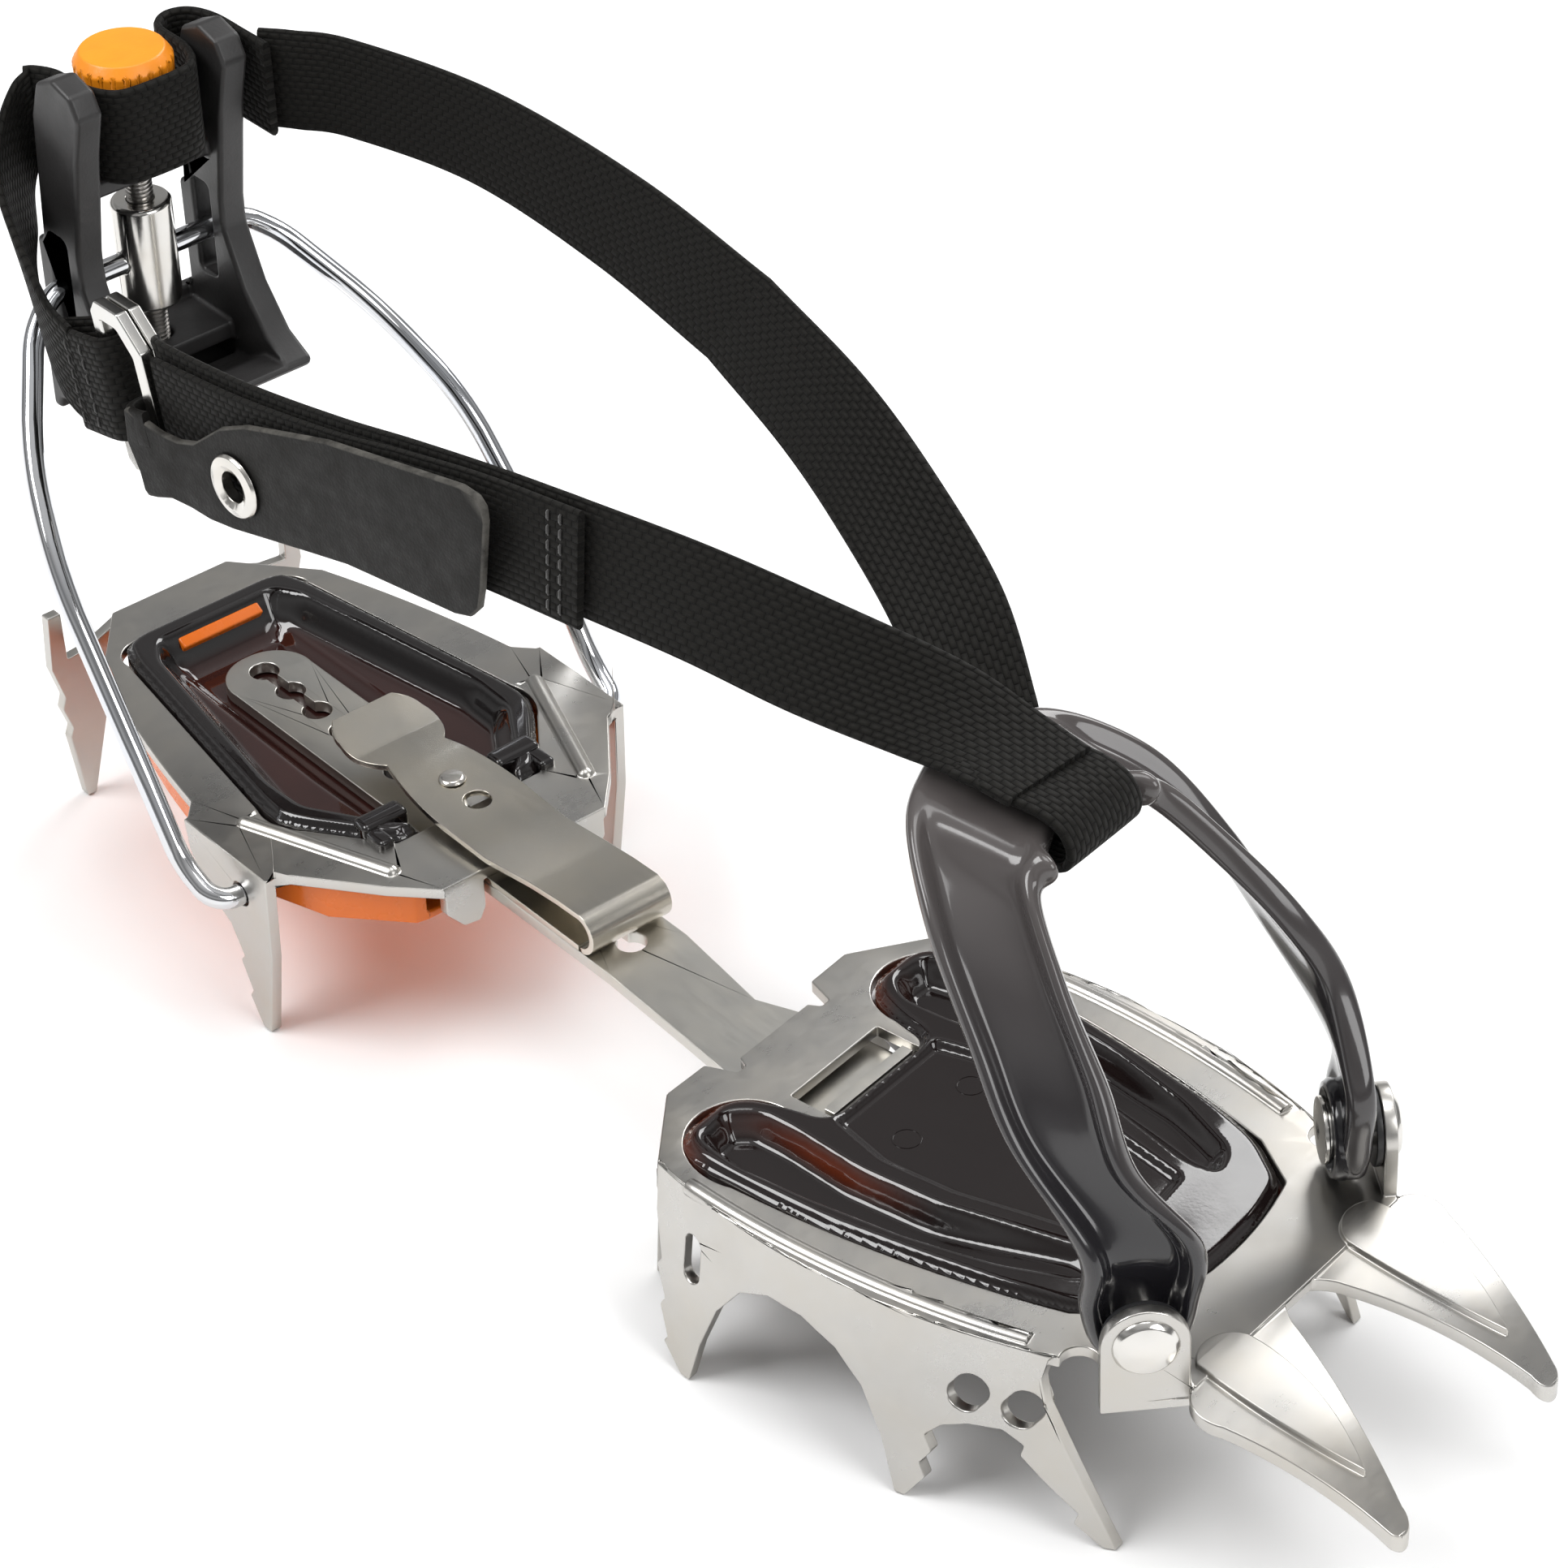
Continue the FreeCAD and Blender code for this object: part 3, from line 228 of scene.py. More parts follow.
def webbing_cloth(name, color):
    """Woven webbing, from each strap's own length and width coordinates in metres."""
    s = Shader(name, color, roughness=0.8, Sheen_Weight=0.03, Sheen_Roughness=0.5, Specular_IOR_Level=0.16)
    uv = s.nodes.new("ShaderNodeUVMap")
    uv.uv_map = "cloth"
    split = s.add("SeparateXYZ", Vector=uv.outputs["UV"])
    along, across = split.outputs["X"], split.outputs["Y"]
    wander = s.math("MULTIPLY", s.math("SUBTRACT", s.noise(380, 2, 0.6), 0.5), 0.22)
    column = s.math("ADD", s.math("MULTIPLY", across, 1 / (WARP * MM)), wander)
    odd = s.math("MULTIPLY", s.math("MODULO", s.math("FLOOR", column), 2.0), 0.5)
    float_at = s.math("ADD", s.math("MULTIPLY_ADD", along, 1 / (PICK * MM), odd), wander)
    ridge = s.math("SINE", s.math("MULTIPLY", s.math("FRACT", column), math.pi))
    knuckle = s.math("SINE", s.math("MULTIPLY", s.math("FRACT", float_at), math.pi))
    yarn = s.math("POWER", s.math("MULTIPLY", ridge, knuckle), 0.45)
    fibre = s.noise(4200, 2, 0.7, s.where)
    # painted shade and highlight: the yarn colour darkens into the gaps between yarns and lightens on their crowns
    tone = s.mix(s.range(yarn, 0.15, 0.95, 0.0, 1.0), tuple(c * 0.35 for c in color),
                 tuple(c * 1.25 for c in color))
    s.feed("Base Color", s.mix(s.range(fibre, 0.35, 0.75, 0.0, 0.35), tone, tuple(c * 1.9 for c in color)))
    s.feed("Roughness", s.range(yarn, 0.0, 1.0, 0.9, 0.62))
    s.bump((yarn, 0.00035), (fibre, 0.00003))
    return s.mat


def thread_cloth(name, color):
    s = Shader(name, color, roughness=0.6, Sheen_Weight=0.4)
    s.bump((s.noise(3000, 2, 0.6), 0.00003))
    s.feed("Base Color", s.mix(s.noise(900), color, tuple(c * 1.5 for c in color)))
    return s.mat


def worn_leather(name, color, worn):
    """Thin coated leather with pores and a paler, rubbed cut edge."""
    s = Shader(name, color, roughness=0.6, Specular_IOR_Level=0.22)
    rim = s.add("Attribute")
    rim.attribute_name = "thin"
    pores = s.add("TexVoronoi", Vector=s.where, Scale=1600.0)
    scuff = s.noise(210, 5, 0.7)
    edge = s.math("MULTIPLY", rim.outputs["Fac"], s.range(scuff, 0.35, 0.6, 0.2, 1.0))
    base = s.mix(s.range(scuff, 0.55, 0.8, 0.0, 0.7), color, tuple(c * 2.0 for c in color))
    s.feed("Base Color", s.mix(edge, base, worn))
    s.feed("Roughness", s.range(scuff, 0.3, 0.8, 0.5, 0.75))
    s.bump((pores.outputs["Distance"], 0.00004), (s.noise(300, 3, 0.6), 0.00004))
    return s.mat


plate_steel = steel("plate_steel", (0.52, 0.51, 0.49), 0.25, 0.37, grain=(1, 0.35, 1), pits=0.000006)
bar_steel = steel("bar_steel", (0.60, 0.59, 0.56), 0.27, 0.38, grain=(0.15, 1, 1), pits=0.000006)
spring_steel = steel("spring_steel", (0.66, 0.63, 0.57), 0.18, 0.28, grain=(0.12, 1, 1), pits=0.000005,
                     stain=0.06)
wire_chrome = steel("wire_chrome", (0.66, 0.68, 0.72), 0.05, 0.12, pits=0.000003, stain=0.05)
small_steel = steel("small_steel", (0.66, 0.65, 0.63), 0.12, 0.26, pits=0.000005, stain=0.1)
dark_steel = steel("thread_steel", (0.42, 0.41, 0.40), 0.22, 0.4, stain=0.25)
ring_steel = steel("ring_steel", (0.66, 0.66, 0.65), 0.14, 0.28, grain=(1, 1, 0.2), pits=0.000006)
amber_guard = gloss_plastic("amber_guard", (0.010, 0.0062, 0.006), (0.30, 0.045, 0.006), 0.08,
                            Coat_Weight=0.6)
smoke_guard = gloss_plastic("smoke_guard", (0.008, 0.006, 0.006), (0.035, 0.011, 0.009), 0.08,
                            Coat_Weight=0.7)
orange_guard = gloss_plastic("orange_guard", (0.72, 0.145, 0.006), (0.85, 0.20, 0.010), 0.26)
# painted top light on the bail, paling it between 0.042 and 0.118 metres up
smoke_bail = smoked("smoke_bail", (0.0125, 0.012, 0.0145), (0.085, 0.076, 0.074), 0.042, 0.118)
lever_black = moulded("lever_black", (0.022, 0.021, 0.021), 0.42)
knob_orange = moulded("knob_orange", (0.95, 0.30, 0.012), 0.38)
washer_black = moulded("washer_black", (0.015, 0.015, 0.016), 0.4)
web_black = webbing_cloth("web_black", (0.0052, 0.0047, 0.0037))
thread_black = thread_cloth("thread_black", (0.012, 0.011, 0.010))
tab_leather = worn_leather("tab_leather", (0.0062, 0.0056, 0.0048), (0.08, 0.076, 0.068))


# ------------------------------------------------------------------ mesh helpers
def new_object(name, verts, faces, mat):
    mesh = bpy.data.meshes.new(name)
    mesh.from_pydata([tuple(v) for v in verts], [], faces)
    mesh.materials.append(mat)
    mesh.update()
    obj = bpy.data.objects.new(name, mesh)
    bpy.context.scene.collection.objects.link(obj)
    return obj


def smooth_shading(obj, degrees=40):
    obj.data.shade_smooth()
    obj.data.set_sharp_from_angle(angle=math.radians(degrees))


def apply_modifiers(obj):
    bpy.context.view_layer.update()
    baked = bpy.data.meshes.new_from_object(obj.evaluated_get(bpy.context.evaluated_depsgraph_get()))
    obj.modifiers.clear()
    obj.data = baked


def even_flats(obj):
    """Let the large flat faces decide the shading, so that they stay flat up to their rounded edges."""
    flats = obj.modifiers.new("flats", "WEIGHTED_NORMAL")
    flats.mode, flats.weight, flats.keep_sharp = "FACE_AREA_WITH_ANGLE", 90, False


def softened(node, mat, body, width=0.3, segments=2, angle=32, merge_flats=True, clamp=False):
    """A copy of a CAD node with its sharp edges rounded by width millimetres."""
    obj = bpy.data.objects.new(node + "_look", frame["nodes"][node].data.copy())
    bpy.context.scene.collection.objects.link(obj)
    bm = bmesh.new()
    bm.from_mesh(obj.data)
    bmesh.ops.remove_doubles(bm, verts=bm.verts, dist=2e-6)
    if merge_flats:
        bmesh.ops.dissolve_limit(bm, angle_limit=math.radians(0.8), verts=bm.verts, edges=bm.edges)
    bm.to_mesh(obj.data)
    bm.free()
    obj.data.materials.clear()
    obj.data.materials.append(mat)
    bevel = obj.modifiers.new("edges", "BEVEL")
    bevel.width, bevel.segments = width * MM, segments
    bevel.limit_method, bevel.angle_limit = "ANGLE", math.radians(angle)
    bevel.use_clamp_overlap = clamp
    bevel.miter_outer = "MITER_ARC"
    obj.data.shade_smooth()
    even_flats(obj)
    apply_modifiers(obj)
    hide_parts(node)
    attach(obj, body)
    return obj


def mark(obj, rule):
    """Per-point share, from 0 to 1, of how thin the moulding is there."""
    layer = obj.data.attributes.new("thin", "FLOAT", "POINT")
    layer.data.foreach_set("value", [min(max(rule(v.co), 0.0), 1.0) for v in obj.data.vertices])


def curve_through(points, count):
    """Evenly stepped points of a smooth curve through all given ones (any vectors of equal size)."""
    pts = [points[0] * 2 - points[1]] + list(points) + [points[-1] * 2 - points[-2]]
    out = []
    for i in range(count):
        t = (len(points) - 1) * i / (count - 1)
        k = min(int(t), len(points) - 2)
        f = t - k
        p0, p1, p2, p3 = pts[k:k + 4]
        out.append((p1 * 2 + (p2 - p0) * f + (p0 * 2 - p1 * 5 + p2 * 4 - p3) * f * f
                    + (p1 * 3 - p0 - p2 * 3 + p3) * f * f * f) * 0.5)
    return out


WEB_T = 1.6


def webbing(name, path, body=None, blend=None, swaps=(), count=70, thick=WEB_T, stitches=()):
    """Flat strap through (middle point, width vector in millimetres) stations, with rounded selvedges."""
    mids = curve_through([p for p, w in path], count)
    wides = curve_through([Vector(w) * MM for p, w in path], count)
    across = [(-0.5, 0.0), (-0.488, 0.32), (-0.46, 0.47), (-0.3, 0.5), (-0.1, 0.5), (0.1, 0.5),
              (0.3, 0.5), (0.46, 0.47), (0.488, 0.32), (0.5, 0.0), (0.488, -0.32), (0.46, -0.47),
              (0.3, -0.5), (0.1, -0.5), (-0.1, -0.5), (-0.3, -0.5), (-0.46, -0.47), (-0.488, -0.32)]
    verts, uvs, gone = [], [], 0.0
    for i in range(count):
        way = mids[min(i + 1, count - 1)] - mids[max(i - 1, 0)]
        out = wides[i].cross(way).normalized()
        if i:
            gone += (mids[i] - mids[i - 1]).length
        for s, t in across:
            verts.append(mids[i] + wides[i] * s + out * t * thick * MM)
            uvs.append((gone, s * wides[i].length + 0.1))
    n, faces = len(across), []
    for i in range(count - 1):
        for k in range(n):
            a, b = i * n + k, i * n + (k + 1) % n
            faces.append((a, b, b + n, a + n))
    faces += [tuple(reversed(range(n))), tuple(range((count - 1) * n, count * n))]
    obj = new_object(name, verts, faces, web_black)
    layer = obj.data.uv_layers.new(name="cloth")
    for loop in obj.data.loops:
        layer.data[loop.index].uv = uvs[loop.vertex_index]
    smooth_shading(obj, 60)
    for row in stitches:
        stitch_row(obj, mids, wides, *row)
    if swaps:
        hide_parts(*swaps)
    if blend:
        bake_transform(obj)
    else:
        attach(obj, body)
    return obj


def stitch_row(obj, mids, wides, start, end, s_start, s_end, step=2.4):
    """Adds a row of sewn threads standing just proud of a strap's outer face, in the strap's own mesh."""
    bm = bmesh.new()
    bm.from_mesh(obj.data)
    layer = bm.loops.layers.uv["cloth"]
    count = len(mids)

    def at(t, s):
        x = t * (count - 1)
        k = min(int(x), count - 2)
        mid = mids[k].lerp(mids[k + 1], x - k)
        wide = wides[k].lerp(wides[k + 1], x - k)
        way = (mids[k + 1] - mids[k]).normalized()
        return mid + wide * s, wide.cross(way).normalized()

    length = (at(end, s_end)[0] - at(start, s_start)[0]).length / MM
    total = max(int(length / step), 1)
    for side in (1, -1):
        for i in range(total):
            f0, f1 = (i + 0.12) / total, (i + 0.88) / total
            a, out_a = at(start + (end - start) * f0, s_start + (s_end - s_start) * f0)
            b, out_b = at(start + (end - start) * f1, s_start + (s_end - s_start) * f1)
            way = (b - a).normalized()
            cross = way.cross(out_a) * 0.33 * MM
            rings = []
            for f, rise, wide in ((0, 0.70, 0.5), (0.2, 1.0, 1.0), (0.8, 1.0, 1.0), (1, 0.70, 0.5)):
                mid = a.lerp(b, f) + out_a.lerp(out_b, f) * side * rise * MM
                lift_by = out_a * side * 0.20 * MM
                rings.append([bm.verts.new(p) for p in (mid - cross * wide, mid + lift_by, mid + cross * wide,
                                                        mid - lift_by * 1.5)])
            for near, far in zip(rings, rings[1:]):
                for k in range(4):
                    face = bm.faces.new((near[k], near[(k + 1) % 4], far[(k + 1) % 4], far[k]))
                    face.material_index, face.smooth = 1, True
    bm.normal_update()
    bm.to_mesh(obj.data)
    bm.free()
    if len(obj.data.materials) < 2:
        obj.data.materials.append(thread_black)


# ------------------------------------------------------------------ steel parts: CAD shapes, edges rounded
softened("front_plate", plate_steel, "frame", 0.3, merge_flats=False)
softened("heel_plate", plate_steel, "frame", 0.3, merge_flats=False)
softened("center_bar", bar_steel, "frame", 0.25, merge_flats=False)
softened("clip_leaf", spring_steel, "frame", 0.12)
softened("clip_tab", spring_steel, "clip", 0.12, merge_flats=False)
softened("clip_stud", small_steel, "clip", 0.2)
softened("bail_rivets", small_steel, "frame", 0.2)
softened("bail_washers", washer_black, "frame", 0.2)
softened("barrel_nut", small_steel, "barrel_nut", 0.3)
softened("screw_nut", small_steel, "adjuster", 0.25)
softened("d_ring_outer", ring_steel, "d_rings", 0.35)
softened("d_ring_inner", ring_steel, "d_rings", 0.35)
softened("tab_eyelet", small_steel, "pull_tab", 0.1)
softened("heel_wire", wire_chrome, "heel_wire", 0.3)

# ------------------------------------------------------------------ mouldings
softened("heel_lever", lever_black, "heel_lever", 0.9, 3)
softened("adjuster_knob", knob_orange, "adjuster", 0.3)
softened("heel_guard_base", orange_guard, "frame", 0.5, 3, merge_flats=False)


def rounded(points, radius, step=0.6):
    """Closed plan outline with every corner rounded, sampled evenly enough for a fine mesh."""
    out, n = [], len(points)
    for i in range(n):
        a, b, c = (Vector(points[(i + k) % n]) for k in (-1, 0, 1))
        into, away = b - a, c - b
        cut = min(radius, 0.45 * into.length, 0.45 * away.length)
        p, q = b - into.normalized() * cut, b + away.normalized() * cut
        parts = max(int((q - p).length / step * 1.3), 2)
        shares = [k / parts for k in range(parts + 1)]
        out += [p * (1 - t) ** 2 + b * 2 * t * (1 - t) + q * t * t for t in shares]
        stop = c - away.normalized() * min(radius, 0.45 * away.length,
                                           0.45 * (Vector(points[(i + 2) % n]) - c).length)
        gap = stop - q
        parts = int(gap.length / step)
        out += [q + gap * (k / (parts + 1)) for k in range(1, parts + 1)]
    return out


def mirrored(points):
    """Closed outline from its near half."""
    return points + [(x, -y) for x, y in reversed(points) if y]


class Region:
    """Signed depth inside a closed plan outline."""

    def __init__(self, loop):
        turn = sum(a.cross(b) for a, b in zip(loop, loop[1:] + loop[:1]))
        self.samples = []
        for a, b in zip(loop, loop[1:] + loop[:1]):
            way = (b - a).normalized()
            inward = Vector((-way.y, way.x)) * (1 if turn > 0 else -1)
            self.samples += [(a.lerp(b, (k + 0.5) / 4), way, inward, (b - a).length / 8) for k in range(4)]
        self.tree = KDTree(len(self.samples))
        for i, sample in enumerate(self.samples):
            self.tree.insert((sample[0].x, sample[0].y, 0), i)
        self.tree.balance()

    def depth(self, x, y):
        _, i, far = self.tree.find((x, y, 0))
        point, way, inward, half = self.samples[i]
        gap = Vector((x, y)) - point
        slip = min(abs(gap.dot(way)), half)
        return math.copysign(math.sqrt(max(far * far - slip * slip, 0.0)), gap.dot(inward))


def ease(value):
    t = min(max(value, 0.0), 1.0)
    return t * t * (3 - 2 * t)


def relief(name, outline, height, low, mat, place, body, thin=None, loops=(), step=0.42):
    """Solid moulding over a plan outline, its top given as a height field in millimetres."""
    region = Region(outline)
    verts, edges = [], []
    for loop in (outline, *loops):
        start = len(verts)
        verts += [Vector((p.x, p.y)) for p in loop]
        edges += [(start + i, start + (i + 1) % len(loop)) for i in range(len(loop))]
    near = KDTree(len(verts))
    for i, p in enumerate(verts):
        near.insert((p.x, p.y, 0), i)
    near.balance()
    xs, ys = [p.x for p in outline], [p.y for p in outline]
    rows = int((max(ys) - min(ys)) / step) + 1
    for row in range(rows):
        y = min(ys) + step * row
        x = min(xs) + (step / 2 if row % 2 else 0)
        while x < max(xs):
            if near.find((x, y, 0))[2] > step * 0.5 and region.depth(x, y) > 0:
                verts.append(Vector((x, y)))
            x += step
    plan, _, faces, _, _, _ = delaunay_2d_cdt(verts, edges, [], 1, 1e-5)
    n, count = len(plan), {}
    tris = []
    for face in faces:
        a, b, c = face
        turn = (plan[b] - plan[a]).cross(plan[c] - plan[a])
        tris.append((a, b, c) if turn > 0 else (a, c, b))
    for tri in tris:
        for a, b in zip(tri, tri[1:] + tri[:1]):
            count[(a, b)] = True
    rim = [(a, b) for a, b in count if (b, a) not in count]
    points = [place(p.x, p.y, height(p.x, p.y)) for p in plan] + [place(p.x, p.y, low) for p in plan]
    skin = tris + [tuple(i + n for i in reversed(t)) for t in tris] + [(b, a, a + n, b + n) for a, b in rim]
    obj = new_object(name, points, skin, mat)
    smooth_shading(obj, 80)
    if thin:
        layer = obj.data.attributes.new("thin", "FLOAT", "POINT")
        values = [min(max(thin(p.x, p.y), 0.0), 1.0) for p in plan]
        layer.data.foreach_set("value", values + values)
    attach(obj, body)
    return obj


def front_guard():
    """Snow guard: rounded rim, two curved side troughs and a shallow middle panel."""
    edge = rounded(mirrored([(8.2, -12.8), (0.6, -14.2), (-5.8, -16.8), (-8.6, -20.2), (-8.7, -29.0),
                             (-6.8, -32.4),
                             (-3.0, -34.0), (6.0, -34.5), (24.0, -33.9), (40.0, -31.6), (55.0, -28.9),
                             (67.0, -25.5),
                             (75.6, -19.6), (77.9, -10.0), (78.5, 0.0)]), 3.2)
    half = [(-5.0, -29.4), (-5.6, -22.6), (-1.5, -19.2), (6.0, -19.2), (20.0, -20.6), (36.0, -19.6),
            (50.0, -16.2),
            (61.0, -13.4), (66.5, -14.6), (64.5, -19.5), (52.0, -24.6), (36.0, -28.2), (18.0, -30.4),
            (4.0, -31.2)]
    near, far = rounded(half, 2.2), rounded([(x, -y) for x, y in half], 2.2)
    middle = rounded(mirrored([(9.6, -13.0), (22.0, -16.2), (36.0, -15.4), (50.0, -12.2), (63.0, -9.8),
                               (64.0, 0.0)]), 1.6)
    outer, troughs, panel = Region(edge), (Region(near), Region(far)), Region(middle)

    def height(x, y):
        z = 0.1 + 1.5 * ease(outer.depth(x, y) / 1.8) - 0.9 * ease((x - 58) / 22)
        side = max(t.depth(x, y) for t in troughs)
        z -= (4.6 - 1.8 * ease((x - 34) / 30)) * ease((side + 1.1) / 3.8)
        return z - 1.5 * ease((panel.depth(x, y) + 0.5) / 1.9)

    def thin(x, y):
        wall = ease(1 - abs(max(t.depth(x, y) for t in troughs) - 0.6) / 1.6) * ease(1 - abs(x - 14) / 24)
        return max(0.42 * wall * ease((26.5 - abs(y)) / 3),
                   0.3 * ease((1.0 - x) / 8) * ease((2.6 - outer.depth(x, y)) / 2.6))

    relief("front_guard_moulding", edge, height, -6.8, amber_guard, front, "frame", thin,
           (near, far, middle))
    skirt = rounded(mirrored([(9.0, -13.8), (-3.0, -14.6), (-12.0, -21.0), (-11.6, -31.8), (-3.0, -36.8),
                              (6.0, -37.4),
                              (40.0, -34.8), (67.0, -28.8), (78.0, -21.0), (81.5, 0.0)]), 3.0, 1.5)
    flat = relief("front_guard_skirt", skirt, lambda x, y: -2.5 - 2.1 * ease((outer.depth(x, y) + 1.0) / 2.0),
                  -4.9,
                  amber_guard, front, "frame", lambda x, y: 0.25, (edge,), 1.5)
    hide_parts("front_guard")
    for i, (x, y) in enumerate(((21.0, 8.5), (21.0, -8.5))):
        turned("front_guard_mark_%d" % (i + 1), [(2.2, -0.1), (2.25, 0.10), (2.5, 0.10), (2.55, -0.1)],
               front(x, y, 0.1), UP,
               amber_guard, "frame")


def heel_guard():
    """Heel snow guard: glossy rim, wide inner slopes and a sunk floor under the bar."""
    edge = rounded(mirrored([(-183.2, -14.2), (-182.0, -18.0), (-176.8, -19.9), (-124.0, -27.9),
                             (-118.0, -28.2),
                             (-113.2, -25.6), (-99.4, -15.8)]), 2.6)
    well = rounded(mirrored([(-178.0, -12.6), (-173.0, -15.6), (-128.0, -23.0), (-118.0, -22.6),
                             (-104.0, -14.0), (-99.0, -9.4)]), 2.0)
    floor = rounded(mirrored([(-173.0, -9.6), (-130.0, -10.4), (-112.0, -10.0), (-99.0, -9.2)]), 1.5)
    outer, deep, lowest = Region(edge), Region(well), Region(floor)

    def height(x, y):
        gate = ease((x + 112) / 6) * ease((9.6 - abs(y)) / 1.0)
        z = 0.1 + 1.6 * ease(outer.depth(x, y) / 1.6) * (1 - gate)
        z -= 5.8 * ease((deep.depth(x, y) + 1.2) / 4.6) * (1 - gate) + 6.35 * gate
        return max(z - 2.3 * ease((lowest.depth(x, y) + 3.0) / 3.5) * (1 - gate), -6.4)

    def thin(x, y):
        return ease((deep.depth(x, y) - 2.0) / 2.0)

    body = relief("heel_guard_moulding", edge, height, -7.6, smoke_guard, rear, "frame", thin,
                  (well, floor))
    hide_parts("heel_guard")
    for name, sign in (("near", -1), ("far", 1)):
        block("heel_guard_bridge_" + name, (-107.6, -103.2), sorted((sign * 9.9, sign * 19.6)), (-3.0, 2.5),
              1.1, smoke_guard)
        block("heel_guard_foot_" + name, (-104.0, -98.6), sorted((sign * 16.2, sign * 19.4)), (-2.0, 1.6),
              0.9, smoke_guard)
    window = block("heel_guard_window", (-178.6, -176.2), (-9.0, 9.0), (-2.6, 0.2), 0.4, orange_guard)
    window.data.transform(Matrix.Translation(rear(-177.4, 0, -1.2))
                          @ Matrix.Rotation(math.radians(32), 4, "Y")
                          @ Matrix.Translation(-rear(-177.4, 0, -1.2)))


def block(name, xs, ys, zs, radius, mat):
    """Box with rounded edges, riding on the frame, from ranges in the heel section's millimetres."""
    corners = [rear(x, y, z) for x in xs for y in ys for z in zs]
    faces = [(0, 1, 3, 2), (4, 6, 7, 5), (0, 4, 5, 1), (2, 3, 7, 6), (0, 2, 6, 4), (1, 5, 7, 3)]
    obj = new_object(name, corners, faces, mat)
    bevel = obj.modifiers.new("edges", "BEVEL")
    bevel.width, bevel.segments = radius * MM, 4
    obj.data.shade_smooth()
    even_flats(obj)
    apply_modifiers(obj)
    mark(obj, lambda p: 0.0)
    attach(obj, "frame")
    return obj


# ------------------------------------------------------------------ adjuster screw
def threaded_rod(name, node, mat, pitch=0.8, depth=0.34):
    """Rod with a real helical thread, as long as its CAD cylinder."""
    low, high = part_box(node)
    axis, radius = (low + high) / 2, (high.x - low.x) / 2
    steps, verts, faces = 28, [], []
    turns = int((high.z - low.z - 1.2 * MM) / (pitch * MM))
    rows = turns * steps
    profile = ((0.0, 1.0), (0.28, 0.0), (0.40, 0.0), (0.68, 1.0))       # share of a pitch, share of the depth
    for i in range(rows + 1):
        angle = 2 * math.pi * i / steps
        base = low.z + 0.2 * MM + pitch * MM * i / steps
        for share, cut in profile:
            r = radius - depth * MM * cut
            verts.append((axis.x + r * math.cos(angle), axis.y + r * math.sin(angle),
                          base + share * pitch * MM))
    n = len(profile)
    for i in range(rows):
        for k in range(n - 1):
            a = i * n + k
            faces.append((a, a + n, a + n + 1, a + 1))
        if i + steps < rows:
            a, b = i * n + n - 1, (i + steps) * n
            faces.append((a, a + n, b + n, b))
    obj = new_object(name, verts, faces, mat)
    smooth_shading(obj, 35)
    core = bmesh.new()
    core.from_mesh(obj.data)
    for z0, z1, r in ((low.z, low.z + 0.9 * MM, radius - 0.5 * MM),
                      (high.z - 0.9 * MM, high.z, radius - 0.5 * MM)):
        bmesh.ops.create_cone(core, cap_ends=True, segments=32, radius1=r, radius2=r, depth=z1 - z0,
                              matrix=Matrix.Translation((axis.x, axis.y, (z0 + z1) / 2)))
    core.to_mesh(obj.data)
    core.free()
    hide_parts(node)
    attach(obj, "adjuster")
    return obj


threaded_rod("thread_rod", "adjuster_screw", dark_steel)

# ------------------------------------------------------------------ toe bail
EAR = (87.0, -33.0, 9.0)
BAIL_EYE_IN = 7.1               # from the ear's outer face in to the middle of the bail's wall


def bail_stations():
    """(rear edge, front edge) of the near half, from the middle out, in the front section's millimetres."""
    s = math.sqrt(0.5)
    eye = Vector(EAR) - Vector((s, -s, 0)) * BAIL_EYE_IN
    side = Vector((s, s, 0))
    pairs = [((24, 0, 76), (48, 0, 73)), ((25.5, -9, 75.5), (50.5, -9, 72.5)),
             ((30, -18, 73), (54, -15.5, 69)),
             ((41, -27.5, 65), (63, -20.5, 59)), ((52, -32, 52), (73.5, -24.5, 48)),
             ((61, -34.3, 39), (81, -27.0, 36))]
    out = [(Vector(a), Vector(b)) for a, b in pairs]
    for half, rise in ((9.8, 14.0), (9.5, 3.5), (7.6, -4.2), (4.0, -6.8)):
        out.append((eye - side * half + UP * rise, eye + side * half + UP * rise))
    return out


